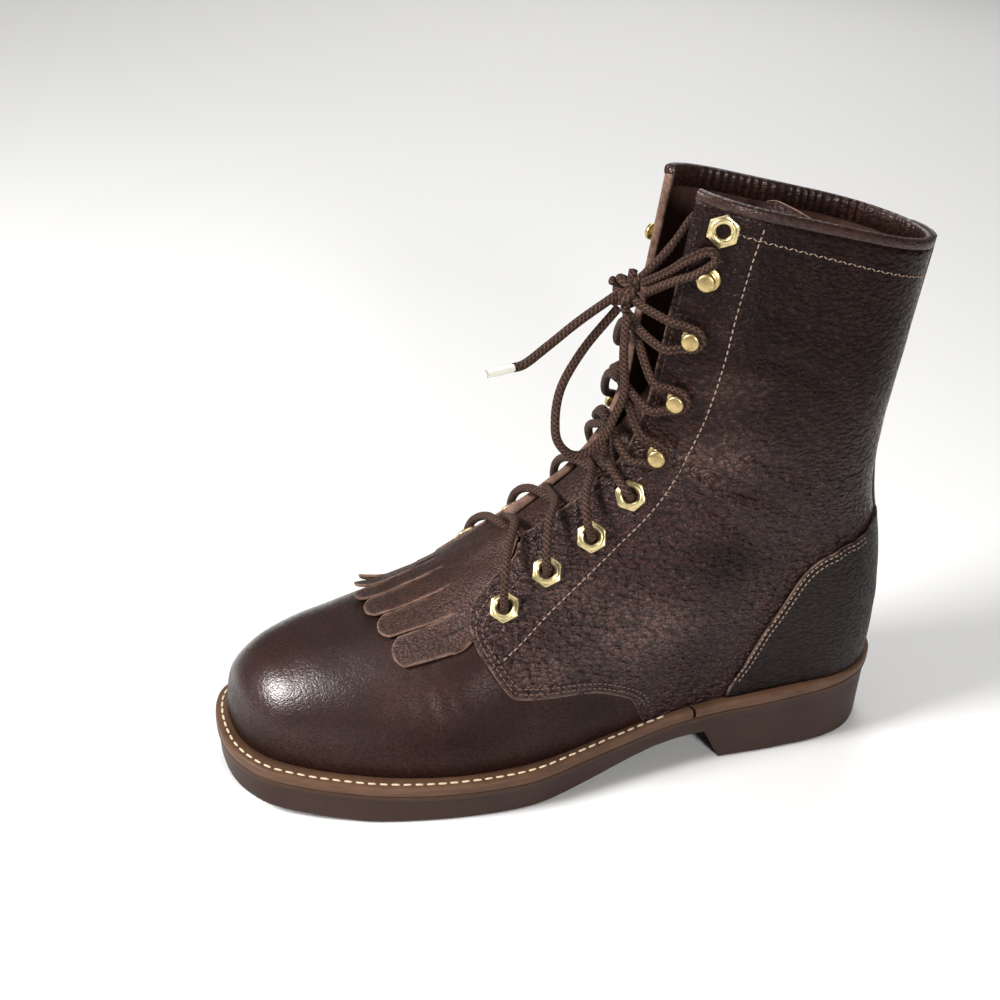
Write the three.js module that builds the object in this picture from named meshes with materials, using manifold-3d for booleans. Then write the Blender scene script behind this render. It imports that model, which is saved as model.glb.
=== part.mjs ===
import * as THREE from 'three';
import { mergeVertices } from 'three/addons/utils/BufferGeometryUtils.js';
import Module from 'manifold-3d';

// Left lace-up western boot, millimetres, +Z up, toe towards -X, outer side towards -Y.
// Lengths along x are measured from the rearmost point of the sole and moved at the end,
// so that the origin is the centre of the heel's resting face.

// Main sizes.
const LENGTH = 305;
const HEIGHT = 261;
const BALL_HALF = 55;
const HEEL_SEAT = 32.6;
const BALL_SEAT = 14.3;
const TOE_SEAT = 20.5;
const TOE_SPRING = 6.6;
const SHANK_LIFT = 15.5;
const HEEL_LENGTH = 85;
const BREAST_SLOPE = 8.5;
const HEEL_CENTRE = 40;

// Thicknesses.
const GAP = 0.3;
const WALL = 2.2;
const QUARTER_STEP = 1.2;
const OVERLAY = 1.1;
const WELT = 4.2;
const INSOLE = 3.4;
const TONGUE = 2.6;
const KILTIE = 1.7;
const RIM = 4.4;

// Hardware and lace.
const EYELET_RADIUS = 7;
const EYELET_HOLE = 2.9;
const EYELET_HEIGHT = 1.7;
const HOOK_BASE = 4.7;
const HOOK_HEAD = 3.6;
const LACE = 4;

// Outline of the welt's outer edge: shares of LENGTH from the toe, shares of BALL_HALF.
const OUTLINE = [
  { along: 0, outer: -0.07, inner: 0.07 },
  { along: 0.006, outer: 0.258, inner: 0.32 },
  { along: 0.02, outer: 0.46, inner: 0.48 },
  { along: 0.05, outer: 0.662, inner: 0.635 },
  { along: 0.1, outer: 0.805, inner: 0.768 },
  { along: 0.15, outer: 0.905, inner: 0.858 },
  { along: 0.2, outer: 0.985, inner: 0.915 },
  { along: 0.3, outer: 1.06, inner: 0.965 },
  { along: 0.4, outer: 1.055, inner: 0.92 },
  { along: 0.5, outer: 0.935, inner: 0.815 },
  { along: 0.6, outer: 0.82, inner: 0.75 },
  { along: 0.7, outer: 0.765, inner: 0.735 },
  { along: 0.8, outer: 0.745, inner: 0.735 },
  { along: 0.9, outer: 0.68, inner: 0.69 },
  { along: 0.95, outer: 0.56, inner: 0.57 },
  { along: 0.98, outer: 0.393, inner: 0.4 },
  { along: 0.995, outer: 0.245, inner: 0.25 },
  { along: 1, outer: 0, inner: 0 },
];

// Top face of the outsole: share of LENGTH from the toe, height as a blend of the seat heights.
const SEAT = [
  { along: 0, toe: 1, ball: 0, heel: 0 },
  { along: 0.148, toe: 0.3, ball: 0.7, heel: 0 },
  { along: 0.295, toe: 0, ball: 1, heel: 0 },
  { along: 0.41, toe: 0, ball: 0.975, heel: 0.025 },
  { along: 0.541, toe: 0, ball: 0.7, heel: 0.3 },
  { along: 0.672, toe: 0, ball: 0.355, heel: 0.645 },
  { along: 0.803, toe: 0, ball: 0.22, heel: 0.78 },
  { along: 1, toe: 0, ball: 0, heel: 1 },
];

// Sections of the foot. front: where the section meets the ridge; end: where it meets the
// sole. x as shares of LENGTH behind the toe end, z of HEIGHT, widths of BALL_HALF; widest,
// full and tuck shape each half: where it is widest, how square, how far it turns under.
const FOOT = [
  { frontX: 0.982, frontZ: 0.136, endX: 0.982, outer: 0, inner: 0, ridge: 0.1, widest: 0.58, full: 2.25, tuck: 0 },
  { frontX: 0.972, frontZ: 0.176, endX: 0.972, outer: 0.36, inner: 0.28, ridge: 0.104, widest: 0.6, full: 2.25, tuck: 0.02 },
  { frontX: 0.941, frontZ: 0.212, endX: 0.941, outer: 0.612, inner: 0.44, ridge: 0.107, widest: 0.61, full: 2.2, tuck: 0.05 },
  { frontX: 0.892, frontZ: 0.239, endX: 0.892, outer: 0.778, inner: 0.578, ridge: 0.11, widest: 0.62, full: 2.15, tuck: 0.06 },
  { frontX: 0.826, frontZ: 0.263, endX: 0.826, outer: 0.922, inner: 0.685, ridge: 0.109, widest: 0.63, full: 2.1, tuck: 0.06 },
  { frontX: 0.754, frontZ: 0.291, endX: 0.754, outer: 1.018, inner: 0.76, ridge: 0.105, widest: 0.64, full: 2.08, tuck: 0.06 },
  { frontX: 0.682, frontZ: 0.33, endX: 0.682, outer: 1.055, inner: 0.79, ridge: 0.09, widest: 0.66, full: 2.05, tuck: 0.06 },
  { frontX: 0.623, frontZ: 0.379, endX: 0.616, outer: 1.027, inner: 0.755, ridge: 0.076, widest: 0.68, full: 2, tuck: 0.05 },
  { frontX: 0.57, frontZ: 0.429, endX: 0.541, outer: 0.955, inner: 0.7, ridge: 0.062, widest: 0.7, full: 2, tuck: 0.04 },
  { frontX: 0.528, frontZ: 0.473, endX: 0.452, outer: 0.855, inner: 0.664, ridge: 0.047, widest: 0.68, full: 2, tuck: 0.04 },
  { frontX: 0.493, frontZ: 0.513, endX: 0.354, outer: 0.773, inner: 0.645, ridge: 0.033, widest: 0.62, full: 2, tuck: 0.06 },
  { frontX: 0.467, frontZ: 0.554, endX: 0.249, outer: 0.718, inner: 0.655, ridge: 0.022, widest: 0.56, full: 2, tuck: 0.08 },
  { frontX: 0.451, frontZ: 0.594, endX: 0.144, outer: 0.682, inner: 0.655, ridge: 0.011, widest: 0.5, full: 2, tuck: 0.1 },
  { frontX: 0.441, frontZ: 0.636, endX: 0.052, outer: 0.655, inner: 0.636, ridge: 0.004, widest: 0.44, full: 2.05, tuck: 0.08 },
];

// Sections of the shaft, each ending on the back line at the height endZ.
const SHAFT = [
  { frontX: 0.434, frontZ: 0.678, endZ: 0.115, outer: 0.636, inner: 0.627, widest: 0.4, full: 2.05, tuck: 0.05 },
  { frontX: 0.428, frontZ: 0.722, endZ: 0.284, outer: 0.627, inner: 0.618, widest: 0.38, full: 2.1, tuck: 0.02 },
  { frontX: 0.421, frontZ: 0.768, endZ: 0.414, outer: 0.609, inner: 0.609, widest: 0.36, full: 2.15, tuck: 0 },
  { frontX: 0.415, frontZ: 0.816, endZ: 0.54, outer: 0.591, inner: 0.591, widest: 0.35, full: 2.2, tuck: 0 },
  { frontX: 0.408, frontZ: 0.87, endZ: 0.667, outer: 0.564, inner: 0.564, widest: 0.34, full: 2.3, tuck: 0 },
  { frontX: 0.402, frontZ: 0.931, endZ: 0.793, outer: 0.536, inner: 0.536, widest: 0.33, full: 2.4, tuck: 0 },
  { frontX: 0.395, frontZ: 1, endZ: 0.918, outer: 0.518, inner: 0.518, widest: 0.32, full: 2.5, tuck: 0 },
];

// Back line: height as a share of HEIGHT, x as a share of LENGTH, and how deep the turn
// from the sides into the back is, as a share of BALL_HALF.
const BACK = [
  { height: 0.05, x: -0.0197, turn: 0.6 },
  { height: 0.138, x: -0.017, turn: 0.6 },
  { height: 0.2, x: -0.0151, turn: 0.605 },
  { height: 0.253, x: -0.0151, turn: 0.61 },
  { height: 0.307, x: -0.019, turn: 0.62 },
  { height: 0.36, x: -0.0262, turn: 0.63 },
  { height: 0.414, x: -0.0361, turn: 0.64 },
  { height: 0.467, x: -0.0459, turn: 0.65 },
  { height: 0.521, x: -0.0508, turn: 0.65 },
  { height: 0.582, x: -0.0492, turn: 0.64 },
  { height: 0.659, x: -0.041, turn: 0.625 },
  { height: 0.736, x: -0.0328, turn: 0.64 },
  { height: 0.82, x: -0.0246, turn: 0.68 },
  { height: 0.904, x: -0.0164, turn: 0.74 },
  { height: 1.05, x: -0.0082, turn: 0.78 },
];

// Side-view outlines: x as shares of LENGTH from the heel's back, z as shares of HEIGHT.
const QUARTER = [
  { x: -0.403, z: 0.02 }, { x: -0.413, z: 0.115 }, { x: -0.423, z: 0.146 }, { x: -0.436, z: 0.161 },
  { x: -0.459, z: 0.176 }, { x: -0.489, z: 0.192 }, { x: -0.531, z: 0.199 }, { x: -0.584, z: 0.203 },
  { x: -0.613, z: 0.196 }, { x: -0.636, z: 0.207 }, { x: -0.648, z: 0.249 }, { x: -0.656, z: 0.287 },
  { x: -0.65, z: 0.322 }, { x: -0.63, z: 0.364 }, { x: -0.6, z: 0.44 }, { x: -0.55, z: 0.6 },
  { x: -0.52, z: 1.12 }, { x: 0.1, z: 1.12 }, { x: 0.1, z: 0.02 },
];
const COUNTER = [
  { x: 0.1, z: 0.02 }, { x: 0.1, z: 0.42 }, { x: -0.04, z: 0.42 }, { x: -0.062, z: 0.417 },
  { x: -0.09, z: 0.408 }, { x: -0.13, z: 0.395 }, { x: -0.162, z: 0.377 }, { x: -0.184, z: 0.35 },
  { x: -0.21, z: 0.3 }, { x: -0.238, z: 0.246 }, { x: -0.259, z: 0.192 }, { x: -0.277, z: 0.155 },
  { x: -0.29, z: 0.02 },
];

// Backstay, seen from behind: half width as a share of BALL_HALF, z as shares of HEIGHT.
const BACKSTAY = [
  { half: 0.235, z: 0.43 }, { half: 0.225, z: 0.48 }, { half: 0.205, z: 0.54 }, { half: 0.19, z: 0.62 },
  { half: 0.175, z: 0.74 }, { half: 0.18, z: 0.86 }, { half: 0.19, z: 1.1 },
];

// Throat: half width of the gap between the two rows of eyelets, at places up the ridge.
const THROAT = [
  { row: 6.62, half: 0.13 }, { row: 6.9, half: 0.19 }, { row: 7.6, half: 0.225 }, { row: 9, half: 0.25 },
  { row: 11, half: 0.26 }, { row: 13, half: 0.27 }, { row: 16, half: 0.29 }, { row: 20.4, half: 0.3 },
];

// Places of the eyelets and hooks up each edge: section row and share of the half width.
const EYELETS = [
  { row: 7.1, across: 0.61 }, { row: 8.2, across: 0.58 }, { row: 9.55, across: 0.6 },
  { row: 11.1, across: 0.6 }, { row: 19.38, across: 0.85 },
];
const HOOKS = [
  { row: 12.85, across: 0.64 }, { row: 14.9, across: 0.7 }, { row: 16.8, across: 0.76 },
  { row: 18.3, across: 0.8 },
];

const V = (x, y, z) => new THREE.Vector3(x, y, z);
const clamp = (value, low, high) => Math.min(high, Math.max(low, value));

/** Smooth value of a column at a key, by cubic steps that never overshoot. */
function column(table, key, name, at) {
  const last = table.length - 1;
  if (at <= table[0][key]) return table[0][name];
  if (at >= table[last][key]) return table[last][name];
  let i = 0;
  while (table[i + 1][key] < at) i += 1;
  const slope = (j) => (table[j + 1][name] - table[j][name]) / (table[j + 1][key] - table[j][key]);
  const tangent = (j) => {
    if (j === 0) return slope(0);
    if (j === last) return slope(last - 1);
    const [a, b] = [slope(j - 1), slope(j)];
    return a * b <= 0 ? 0 : (2 * a * b) / (a + b);
  };
  const width = table[i + 1][key] - table[i][key];
  const s = (at - table[i][key]) / width;
  const [m0, m1] = [tangent(i) * width, tangent(i + 1) * width];
  return table[i][name] * (2 * s ** 3 - 3 * s ** 2 + 1) + m0 * (s ** 3 - 2 * s ** 2 + s)
    + table[i + 1][name] * (3 * s ** 2 - 2 * s ** 3) + m1 * (s ** 3 - s ** 2);
}

/** Height of the outsole's top face at x. */
function seat(x) {
  const along = 1 + x / LENGTH;
  return TOE_SEAT * column(SEAT, 'along', 'toe', along)
    + BALL_SEAT * column(SEAT, 'along', 'ball', along)
    + HEEL_SEAT * column(SEAT, 'along', 'heel', along);
}

/** Height of the outsole's underside at x: toe spring, flat forefoot, arch, breast, heel. */
function tread(x) {
  if (x > -HEEL_LENGTH) return 0;
  if (x > -HEEL_LENGTH - BREAST_SLOPE) return SHANK_LIFT * (-HEEL_LENGTH - x) / BREAST_SLOPE;
  const arch = clamp((x + 0.59 * LENGTH) / (0.27 * LENGTH), 0, 1);
  const toe = clamp((-0.79 * LENGTH - x) / (0.21 * LENGTH), 0, 1);
  return SHANK_LIFT * arch * arch * (3 - 2 * arch) + TOE_SPRING * toe ** 1.7;
}

const backX = (z) => LENGTH * column(BACK, 'height', 'x', z / HEIGHT);
const backTurn = (z) => BALL_HALF * column(BACK, 'height', 'turn', z / HEIGHT);

/** All section rows in millimetres, from the toe to the collar. */
const ROWS = [
  ...FOOT.map((r) => ({
    frontX: -LENGTH * r.frontX,
    frontZ: HEIGHT * r.frontZ,
    endX: -LENGTH * r.endX,
    endZ: seat(-LENGTH * r.endX) - 12,
    outer: BALL_HALF * r.outer,
    inner: BALL_HALF * r.inner,
    ridge: BALL_HALF * r.ridge,
    widest: r.widest,
    full: r.full,
    tuck: r.tuck,
  })),
  ...SHAFT.map((r) => ({
    frontX: -LENGTH * r.frontX,
    frontZ: HEIGHT * r.frontZ,
    endX: backX(HEIGHT * r.endZ),
    endZ: HEIGHT * r.endZ,
    outer: BALL_HALF * r.outer,
    inner: BALL_HALF * r.inner,
    ridge: 0,
    widest: r.widest,
    full: r.full,
    tuck: r.tuck,
  })),
];
const COLLAR = ROWS.length - 1;

/** Section at a fractional row, by Catmull-Rom steps; mirrored at the toe, straight past the collar. */
function section(row) {
  const pick = (k) => {
    if (k < 0) return { ...ROWS[-k], outer: -ROWS[-k].outer, inner: -ROWS[-k].inner };
    if (k <= COLLAR) return ROWS[k];
    const [a, b] = [ROWS[COLLAR - 1], ROWS[COLLAR]];
    return Object.fromEntries(Object.keys(b).map((name) => [name, b[name] + (k - COLLAR) * (b[name] - a[name])]));
  };
  const i = clamp(Math.floor(row), 0, COLLAR);
  const f = row - i;
  const [p, q, r, s] = [pick(i - 1), pick(i), pick(i + 1), pick(i + 2)];
  const out = {};
  for (const name of Object.keys(q)) {
    out[name] = 0.5 * (2 * q[name] + (r[name] - p[name]) * f
      + (2 * p[name] - 5 * q[name] + 4 * r[name] - s[name]) * f * f
      + (3 * q[name] - p[name] - 3 * r[name] + s[name]) * f ** 3);
  }
  return out;
}

/** How far the half section has opened, from 0 at its edge to 1 at its widest. */
const opened = (share, full) => (1 - (1 - clamp(share, 0, 1)) ** full) ** (1 / full);

/** Point of the upper's outer surface: row, side (-1 outer, 1 inner) and share down the section. */
function skin(row, side, share) {
  const r = section(row);
  const x = r.frontX + (r.endX - r.frontX) * share;
  const z = r.frontZ + (r.endZ - r.frontZ) * share;
  const width = Math.max(0, side < 0 ? r.outer : r.inner);
  const under = clamp((share - r.widest) / (1 - r.widest), 0, 1);
  const back = opened((backX(z) - x) / backTurn(z), 2.15);
  const y = width * opened(share / r.widest, r.full) * (1 - r.tuck * under * under * (3 - 2 * under)) * back;
  return V(x, r.ridge + side * y, z);
}

/** Share down the section at which the surface is a given distance from the ridge. */
function shareAcross(row, across) {
  const r = section(row);
  const width = across < 0 ? r.outer : r.inner;
  const a = clamp(Math.abs(across) / width, 0, 0.995);
  return r.widest * (1 - (1 - a ** r.full) ** (1 / r.full));
}

/** Distance across the ridge for a signed share of the half width on that side. */
function reach(row, share) {
  const r = section(row);
  return share * (share < 0 ? r.outer : r.inner);
}

/** Point and outward normal at a row and a signed distance across from the ridge. */
function spot(row, across) {
  const side = across < 0 ? -1 : 1;
  const at = (v, a) => skin(v, side, shareAcross(v, side * Math.max(0.01, Math.abs(a))));
  const point = at(row, across);
  const up = at(row + 0.06, across).sub(at(row - 0.06, across));
  const along = at(row, across + side * 0.6).sub(point).multiplyScalar(side);
  const normal = new THREE.Vector3().crossVectors(along, up).normalize();
  return { point, normal: normal.multiplyScalar(normal.dot(V(-1, 0, 1)) < 0 ? -1 : 1), up: up.normalize() };
}

/** Welded indexed mesh, without triangles that have no area. */
function weld(points, faces) {
  const raw = new THREE.BufferGeometry();
  raw.setAttribute('position', new THREE.Float32BufferAttribute(points.flatMap((p) => [p.x, p.y, p.z]), 3));
  raw.setIndex(faces.flat());
  return cleaned(raw);
}

function cleaned(geometry) {
  const bare = geometry.clone();
  bare.deleteAttribute('normal');
  bare.deleteAttribute('uv');
  const merged = mergeVertices(bare, 1e-3);
  const index = Array.from(merged.index.array);
  const kept = [];
  for (let i = 0; i < index.length; i += 3) {
    const [a, b, c] = index.slice(i, i + 3);
    if (a !== b && b !== c && c !== a) kept.push(a, b, c);
  }
  merged.setIndex(kept);
  return merged;
}

const wasm = await Module();
wasm.setup();

/** Solid from a geometry, turned right side out when its faces look inward. */
function solid(geometry) {
  const g = cleaned(geometry);
  const p = g.attributes.position;
  const t = g.index.array;
  let volume = 0;
  const [a, b, c] = [V(0, 0, 0), V(0, 0, 0), V(0, 0, 0)];
  for (let i = 0; i < t.length; i += 3) {
    a.fromBufferAttribute(p, t[i]);
    b.fromBufferAttribute(p, t[i + 1]);
    c.fromBufferAttribute(p, t[i + 2]);
    volume += a.dot(b.clone().cross(c));
  }
  const faces = Uint32Array.from(t);
  if (volume < 0) {
    for (let i = 0; i < faces.length; i += 3) [faces[i], faces[i + 1]] = [faces[i + 1], faces[i]];
  }
  return new wasm.Manifold(new wasm.Mesh({
    numProp: 3, vertProperties: Float32Array.from(p.array), triVerts: faces,
  }));
}

function geometryOf(manifold) {
  const mesh = manifold.getMesh();
  const points = [];
  for (let i = 0; i < mesh.vertProperties.length; i += mesh.numProp) {
    points.push(...mesh.vertProperties.slice(i, i + 3));
  }
  const g = new THREE.BufferGeometry();
  g.setAttribute('position', new THREE.Float32BufferAttribute(points, 3));
  g.setIndex(Array.from(mesh.triVerts));
  return g;
}

const join = (parts) => parts.reduce((whole, part) => whole.add(part));

/** Faces of a grid of points whose rings are closed when looped is set. */
function gridFaces(rows, columns, looped) {
  const faces = [];
  const wide = looped ? columns : columns - 1;
  for (let i = 0; i < rows - 1; i += 1) {
    for (let j = 0; j < wide; j += 1) {
      const a = i * columns + j;
      const b = i * columns + (j + 1) % columns;
      faces.push([a, b, b + columns], [a, b + columns, a + columns]);
    }
  }
  return faces;
}

/** Shares down one half section, spread evenly along its length. */
function evenShares(row, side, count) {
  const fine = Array.from({ length: 121 }, (_, k) => 0.5 - 0.5 * Math.cos(Math.PI * k / 120));
  const run = [0];
  for (let k = 1; k < fine.length; k += 1) {
    run.push(run[k - 1] + skin(row, side, fine[k]).distanceTo(skin(row, side, fine[k - 1])));
  }
  return Array.from({ length: count + 1 }, (_, n) => {
    const goal = run[120] * n / count;
    let k = 1;
    while (k < 120 && run[k] < goal) k += 1;
    const part = (goal - run[k - 1]) / Math.max(1e-9, run[k] - run[k - 1]);
    return fine[k - 1] + (fine[k] - fine[k - 1]) * part;
  });
}

// Rows at which every form is cut: up to the lower edge of the collar's rim, then one above it.
const RIM_ROW = COLLAR - 0.235;
const HALF = 12;
const LEVELS = [
  0, 0.35, 0.8, 1.4, 2.1, 3, 4, 5, 6, 6.8, 7.7, 8.6, 9.5, 10.4, 11.3, 12.2, 13,
  13.45, 13.8, 14.1, 14.5, 15.3, 16.3, 17.4, 18.6, RIM_ROW, COLLAR + 0.2,
];

/**
 * Filled form of the upper, grown or shrunk along its normals by offset. Rings run from the
 * outer side's sole edge over the ridge to the inner side's; a tall form ends above the rim.
 */
function form(offset, tall = false) {
  const points = [];
  const columns = 2 * HALF + 1;
  for (const row of LEVELS) {
    const outer = evenShares(row, -1, HALF).map((share) => skin(row, -1, share));
    const inner = evenShares(row, 1, HALF).map((share) => skin(row, 1, share));
    points.push(...outer.reverse(), ...inner.slice(1));
  }
  const grown = grow(points, gridFaces(LEVELS.length, columns, false), offset);
  const count = LEVELS.length - (tall ? 0 : 1);
  const faces = gridFaces(count, columns, false);
  for (let i = 0; i < count - 1; i += 1) {
    const [a, b] = [i * columns, (i + 1) * columns];
    faces.push([a + columns - 1, a, b], [a + columns - 1, b, b + columns - 1]);
  }
  const last = (count - 1) * columns;
  for (let j = 0; j < HALF; j += 1) {
    const [a, b, c, d] = [last + j, last + j + 1, last + columns - 2 - j, last + columns - 1 - j];
    faces.push([a, b, c], [a, c, d]);
  }
  return solid(weld(grown.slice(0, count * columns), faces));
}

/** Points moved along the normals of the open surface that the faces make. */
function grow(points, faces, offset) {
  if (offset === 0) return points;
  const key = (p) => `${p.x.toFixed(3)},${p.y.toFixed(3)},${p.z.toFixed(3)}`;
  const sums = new Map(points.map((p) => [key(p), V(0, 0, 0)]));
  for (const [a, b, c] of faces) {
    const normal = points[b].clone().sub(points[a]).cross(points[c].clone().sub(points[a]));
    for (const p of new Set([key(points[a]), key(points[b]), key(points[c])])) sums.get(p).add(normal);
  }
  const centre = V(-0.45 * LENGTH, 0, 0.3 * HEIGHT);
  const side = points.reduce((sum, p) => sum + sums.get(key(p)).dot(p.clone().sub(centre)), 0) < 0 ? -1 : 1;
  return points.map((p) => p.clone().addScaledVector(sums.get(key(p)).clone().normalize(), side * offset));
}

/** Prism from a side-view outline, running right across the boot or over part of its width. */
function sidePrism(outline, from = -BALL_HALF * 2, to = BALL_HALF * 2) {
  const shape = new THREE.Shape(outline.map((p) => new THREE.Vector2(p[0], p[1])));
  const prism = new THREE.ExtrudeGeometry(shape, { depth: to - from, bevelEnabled: false });
  prism.rotateX(Math.PI / 2);
  prism.translate(0, to, 0);
  return solid(prism);
}

/** Prism from an outline of y and z, running along x. */
function endPrism(outline, from, to) {
  const shape = new THREE.Shape(outline.map((p) => new THREE.Vector2(p[0], p[1])));
  const prism = new THREE.ExtrudeGeometry(shape, { depth: to - from, bevelEnabled: false });
  prism.rotateX(Math.PI / 2).rotateZ(Math.PI / 2);
  prism.translate(from, 0, 0);
  return solid(prism);
}

const scaled = (outline) => outline.map((p) => [p.x * LENGTH, p.z * HEIGHT]);

/** Everything below the outsole's top face raised by lift. */
function belowSeat(lift) {
  const points = [];
  for (let i = 0; i <= 26; i += 1) {
    const x = -1.1 * LENGTH + 1.2 * LENGTH * i / 26;
    points.push([x, seat(clamp(x, -LENGTH, 0)) + lift]);
  }
  return sidePrism([...points, [0.1 * LENGTH, -HEIGHT], [-1.1 * LENGTH, -HEIGHT]]);
}

/** Dense closed outline of the sole, moved inwards by inset. */
function soleEdge(inset) {
  const place = (r, side) => V(-LENGTH * (1 - r.along), side * BALL_HALF * (side < 0 ? r.outer : r.inner), 0);
  const outer = OUTLINE.map((r) => place(r, -1));
  const inner = OUTLINE.map((r) => place(r, 1)).slice(1, -1).reverse();
  const curve = new THREE.CatmullRomCurve3([...outer, ...inner], true, 'centripetal');
  const count = 480;
  return Array.from({ length: count }, (_, k) => {
    const t = k / count;
    const way = curve.getTangent(t);
    return curve.getPoint(t).add(V(-way.y, way.x, 0).normalize().multiplyScalar(inset));
  });
}

/** Outer and inner y of an outline at a share of its own length from the toe. */
function edgeAt(points, share) {
  const xs = points.map((p) => p.x);
  const [tip, heel] = [xs.indexOf(Math.min(...xs)), xs.indexOf(Math.max(...xs))];
  const x = points[tip].x + (points[heel].x - points[tip].x) * share;
  const walk = (step) => {
    const total = points.length;
    let k = tip;
    while (k !== heel && points[(k + step + total) % total].x < x) k = (k + step + total) % total;
    const [a, b] = [points[k], points[(k + step + total) % total]];
    if (k === heel || b.x <= a.x) return a.y;
    return a.y + (b.y - a.y) * clamp((x - a.x) / (b.x - a.x), 0, 1);
  };
  return { x, outer: walk(1), inner: walk(-1) };
}

/** Solid between stacked outlines; each layer has an inset and a height as a function of x. */
function layered(layers, shares) {
  const points = [];
  const count = shares.length;
  for (const layer of layers) {
    const edge = soleEdge(layer.inset);
    const stations = shares.map((share) => edgeAt(edge, share));
    points.push(...stations.map((s) => V(s.x, s.outer, layer.height(s.x))));
    points.push(...stations.map((s) => V(s.x, s.inner, layer.height(s.x))).reverse());
  }
  const faces = gridFaces(layers.length, 2 * count, true);
  const top = (layers.length - 1) * 2 * count;
  for (let i = 0; i < count - 1; i += 1) {
    const [c, d] = [2 * count - 2 - i, 2 * count - 1 - i];
    faces.push([d, c, i + 1], [d, i + 1, i]);
    faces.push([top + i, top + i + 1, top + c], [top + i, top + c, top + d]);
  }
  return solid(weld(points, faces));
}

/** Stations along the sole, closer at its ends, with extra ones where the breast starts and ends. */
function stations(count, extra = []) {
  const even = Array.from({ length: count + 1 }, (_, k) => {
    const t = k / count;
    return 0.45 * (0.5 - 0.5 * Math.cos(Math.PI * t)) + 0.55 * t ** 1 * (t < 0.5 ? t ** 0.25 / 0.5 ** 0.25 : 1);
  });
  const all = [...even.map((s) => clamp(s, 0, 1)), ...extra].sort((a, b) => a - b);
  return all.filter((s, k) => k === 0 || s - all[k - 1] > 0.004 || extra.includes(s));
}

/** Strip over the ridge: two grown layers joined round the rim; across runs from -1 to 1. */
function strip(places, columns, place) {
  const points = [];
  const rows = places.length - 1;
  for (const level of [0, 1]) {
    for (const row of places) {
      for (let j = 0; j <= columns; j += 1) points.push(place(row, 2 * j / columns - 1, level));
    }
  }
  const wide = columns + 1;
  const layer = (rows + 1) * wide;
  const one = gridFaces(rows + 1, wide, false);
  const faces = [...one, ...one.map(([a, b, c]) => [c + layer, b + layer, a + layer])];
  const rim = [];
  for (let j = 0; j < wide; j += 1) rim.push(j);
  for (let i = 1; i <= rows; i += 1) rim.push(i * wide + columns);
  for (let j = columns - 1; j >= 0; j -= 1) rim.push(rows * wide + j);
  for (let i = rows - 1; i > 0; i -= 1) rim.push(i * wide);
  rim.forEach((a, k) => {
    const b = rim[(k + 1) % rim.length];
    faces.push([b, a, a + layer], [b, a + layer, b + layer]);
  });
  return solid(weld(points, faces));
}

/** Tube of a lace through hand-placed points. */
function tube(points, steps, sides = 8, thick = LACE) {
  const path = new THREE.CatmullRomCurve3(points, false, 'centripetal');
  const ring = new THREE.Shape(Array.from({ length: sides }, (_, k) => {
    const a = 2 * Math.PI * k / sides;
    return new THREE.Vector2(Math.cos(a) * thick / 2, Math.sin(a) * thick / 2);
  }));
  return new THREE.ExtrudeGeometry(ring, { steps, extrudePath: path, bevelEnabled: false });
}

const group = new THREE.Group();
group.name = 'western_lace_up_boot';

function add(name, shape, colour, roughness, metalness = 0) {
  const geometry = shape.isBufferGeometry ? cleaned(shape) : geometryOf(shape);
  geometry.translate(HEEL_CENTRE, 0, 0);
  const material = new THREE.MeshStandardMaterial({ color: colour, roughness, metalness });
  const mesh = new THREE.Mesh(geometry, material);
  mesh.name = name;
  group.add(mesh);
  return mesh;
}

const LEATHER = '#3a221c';
const DARK = '#241a18';
const TAN = '#8a5f3c';
const RUBBER = '#4a2f25';
const BRASS = '#c9b07a';
const LACE_BROWN = '#33231d';

// Outsole: rounded tread edge, tapered side, small lip below the welt.
const BREAST = [1 - (HEEL_LENGTH + BREAST_SLOPE) / LENGTH, 1 - HEEL_LENGTH / LENGTH];
const outsole = layered([
  { inset: 3.4, height: tread },
  { inset: 2.1, height: (x) => tread(x) + 1 },
  { inset: 1, height: (x) => seat(x) - 1.9 },
  { inset: 0.2, height: (x) => seat(x) - 1.5 },
  { inset: 0.2, height: seat },
], stations(29, BREAST));
add('outsole', outsole, RUBBER, 0.75);

// Upper, open at the collar, at the throat and over the insole.
const outerForm = form(0);
const innerForm = form(-WALL, true);
const quarters = form(QUARTER_STEP).intersect(sidePrism(scaled(QUARTER)));

function throatCutter() {
  const corners = [];
  const rows = Array.from({ length: 16 }, (_, k) => THROAT[0].row + (20.4 - THROAT[0].row) * k / 15);
  for (const row of rows) {
    const r = section(row);
    const way = V(r.endX - r.frontX, 0, r.endZ - r.frontZ).normalize();
    const half = BALL_HALF * column(THROAT, 'row', 'half', row);
    const front = V(r.frontX, r.ridge, r.frontZ);
    for (const [side, depth] of [[-1, -6], [1, -6], [1, 16], [-1, 16]]) {
      corners.push(front.clone().addScaledVector(way, depth).add(V(0, side * half, 0)));
    }
  }
  const last = (rows.length - 1) * 4;
  return solid(weld(corners, [
    ...gridFaces(rows.length, 4, true), [0, 3, 2], [0, 2, 1],
    [last, last + 1, last + 2], [last, last + 2, last + 3],
  ]));
}

const upper = outerForm.add(quarters).subtract(innerForm).subtract(belowSeat(GAP)).subtract(throatCutter());
add('upper', upper, LEATHER, 0.42);

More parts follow.
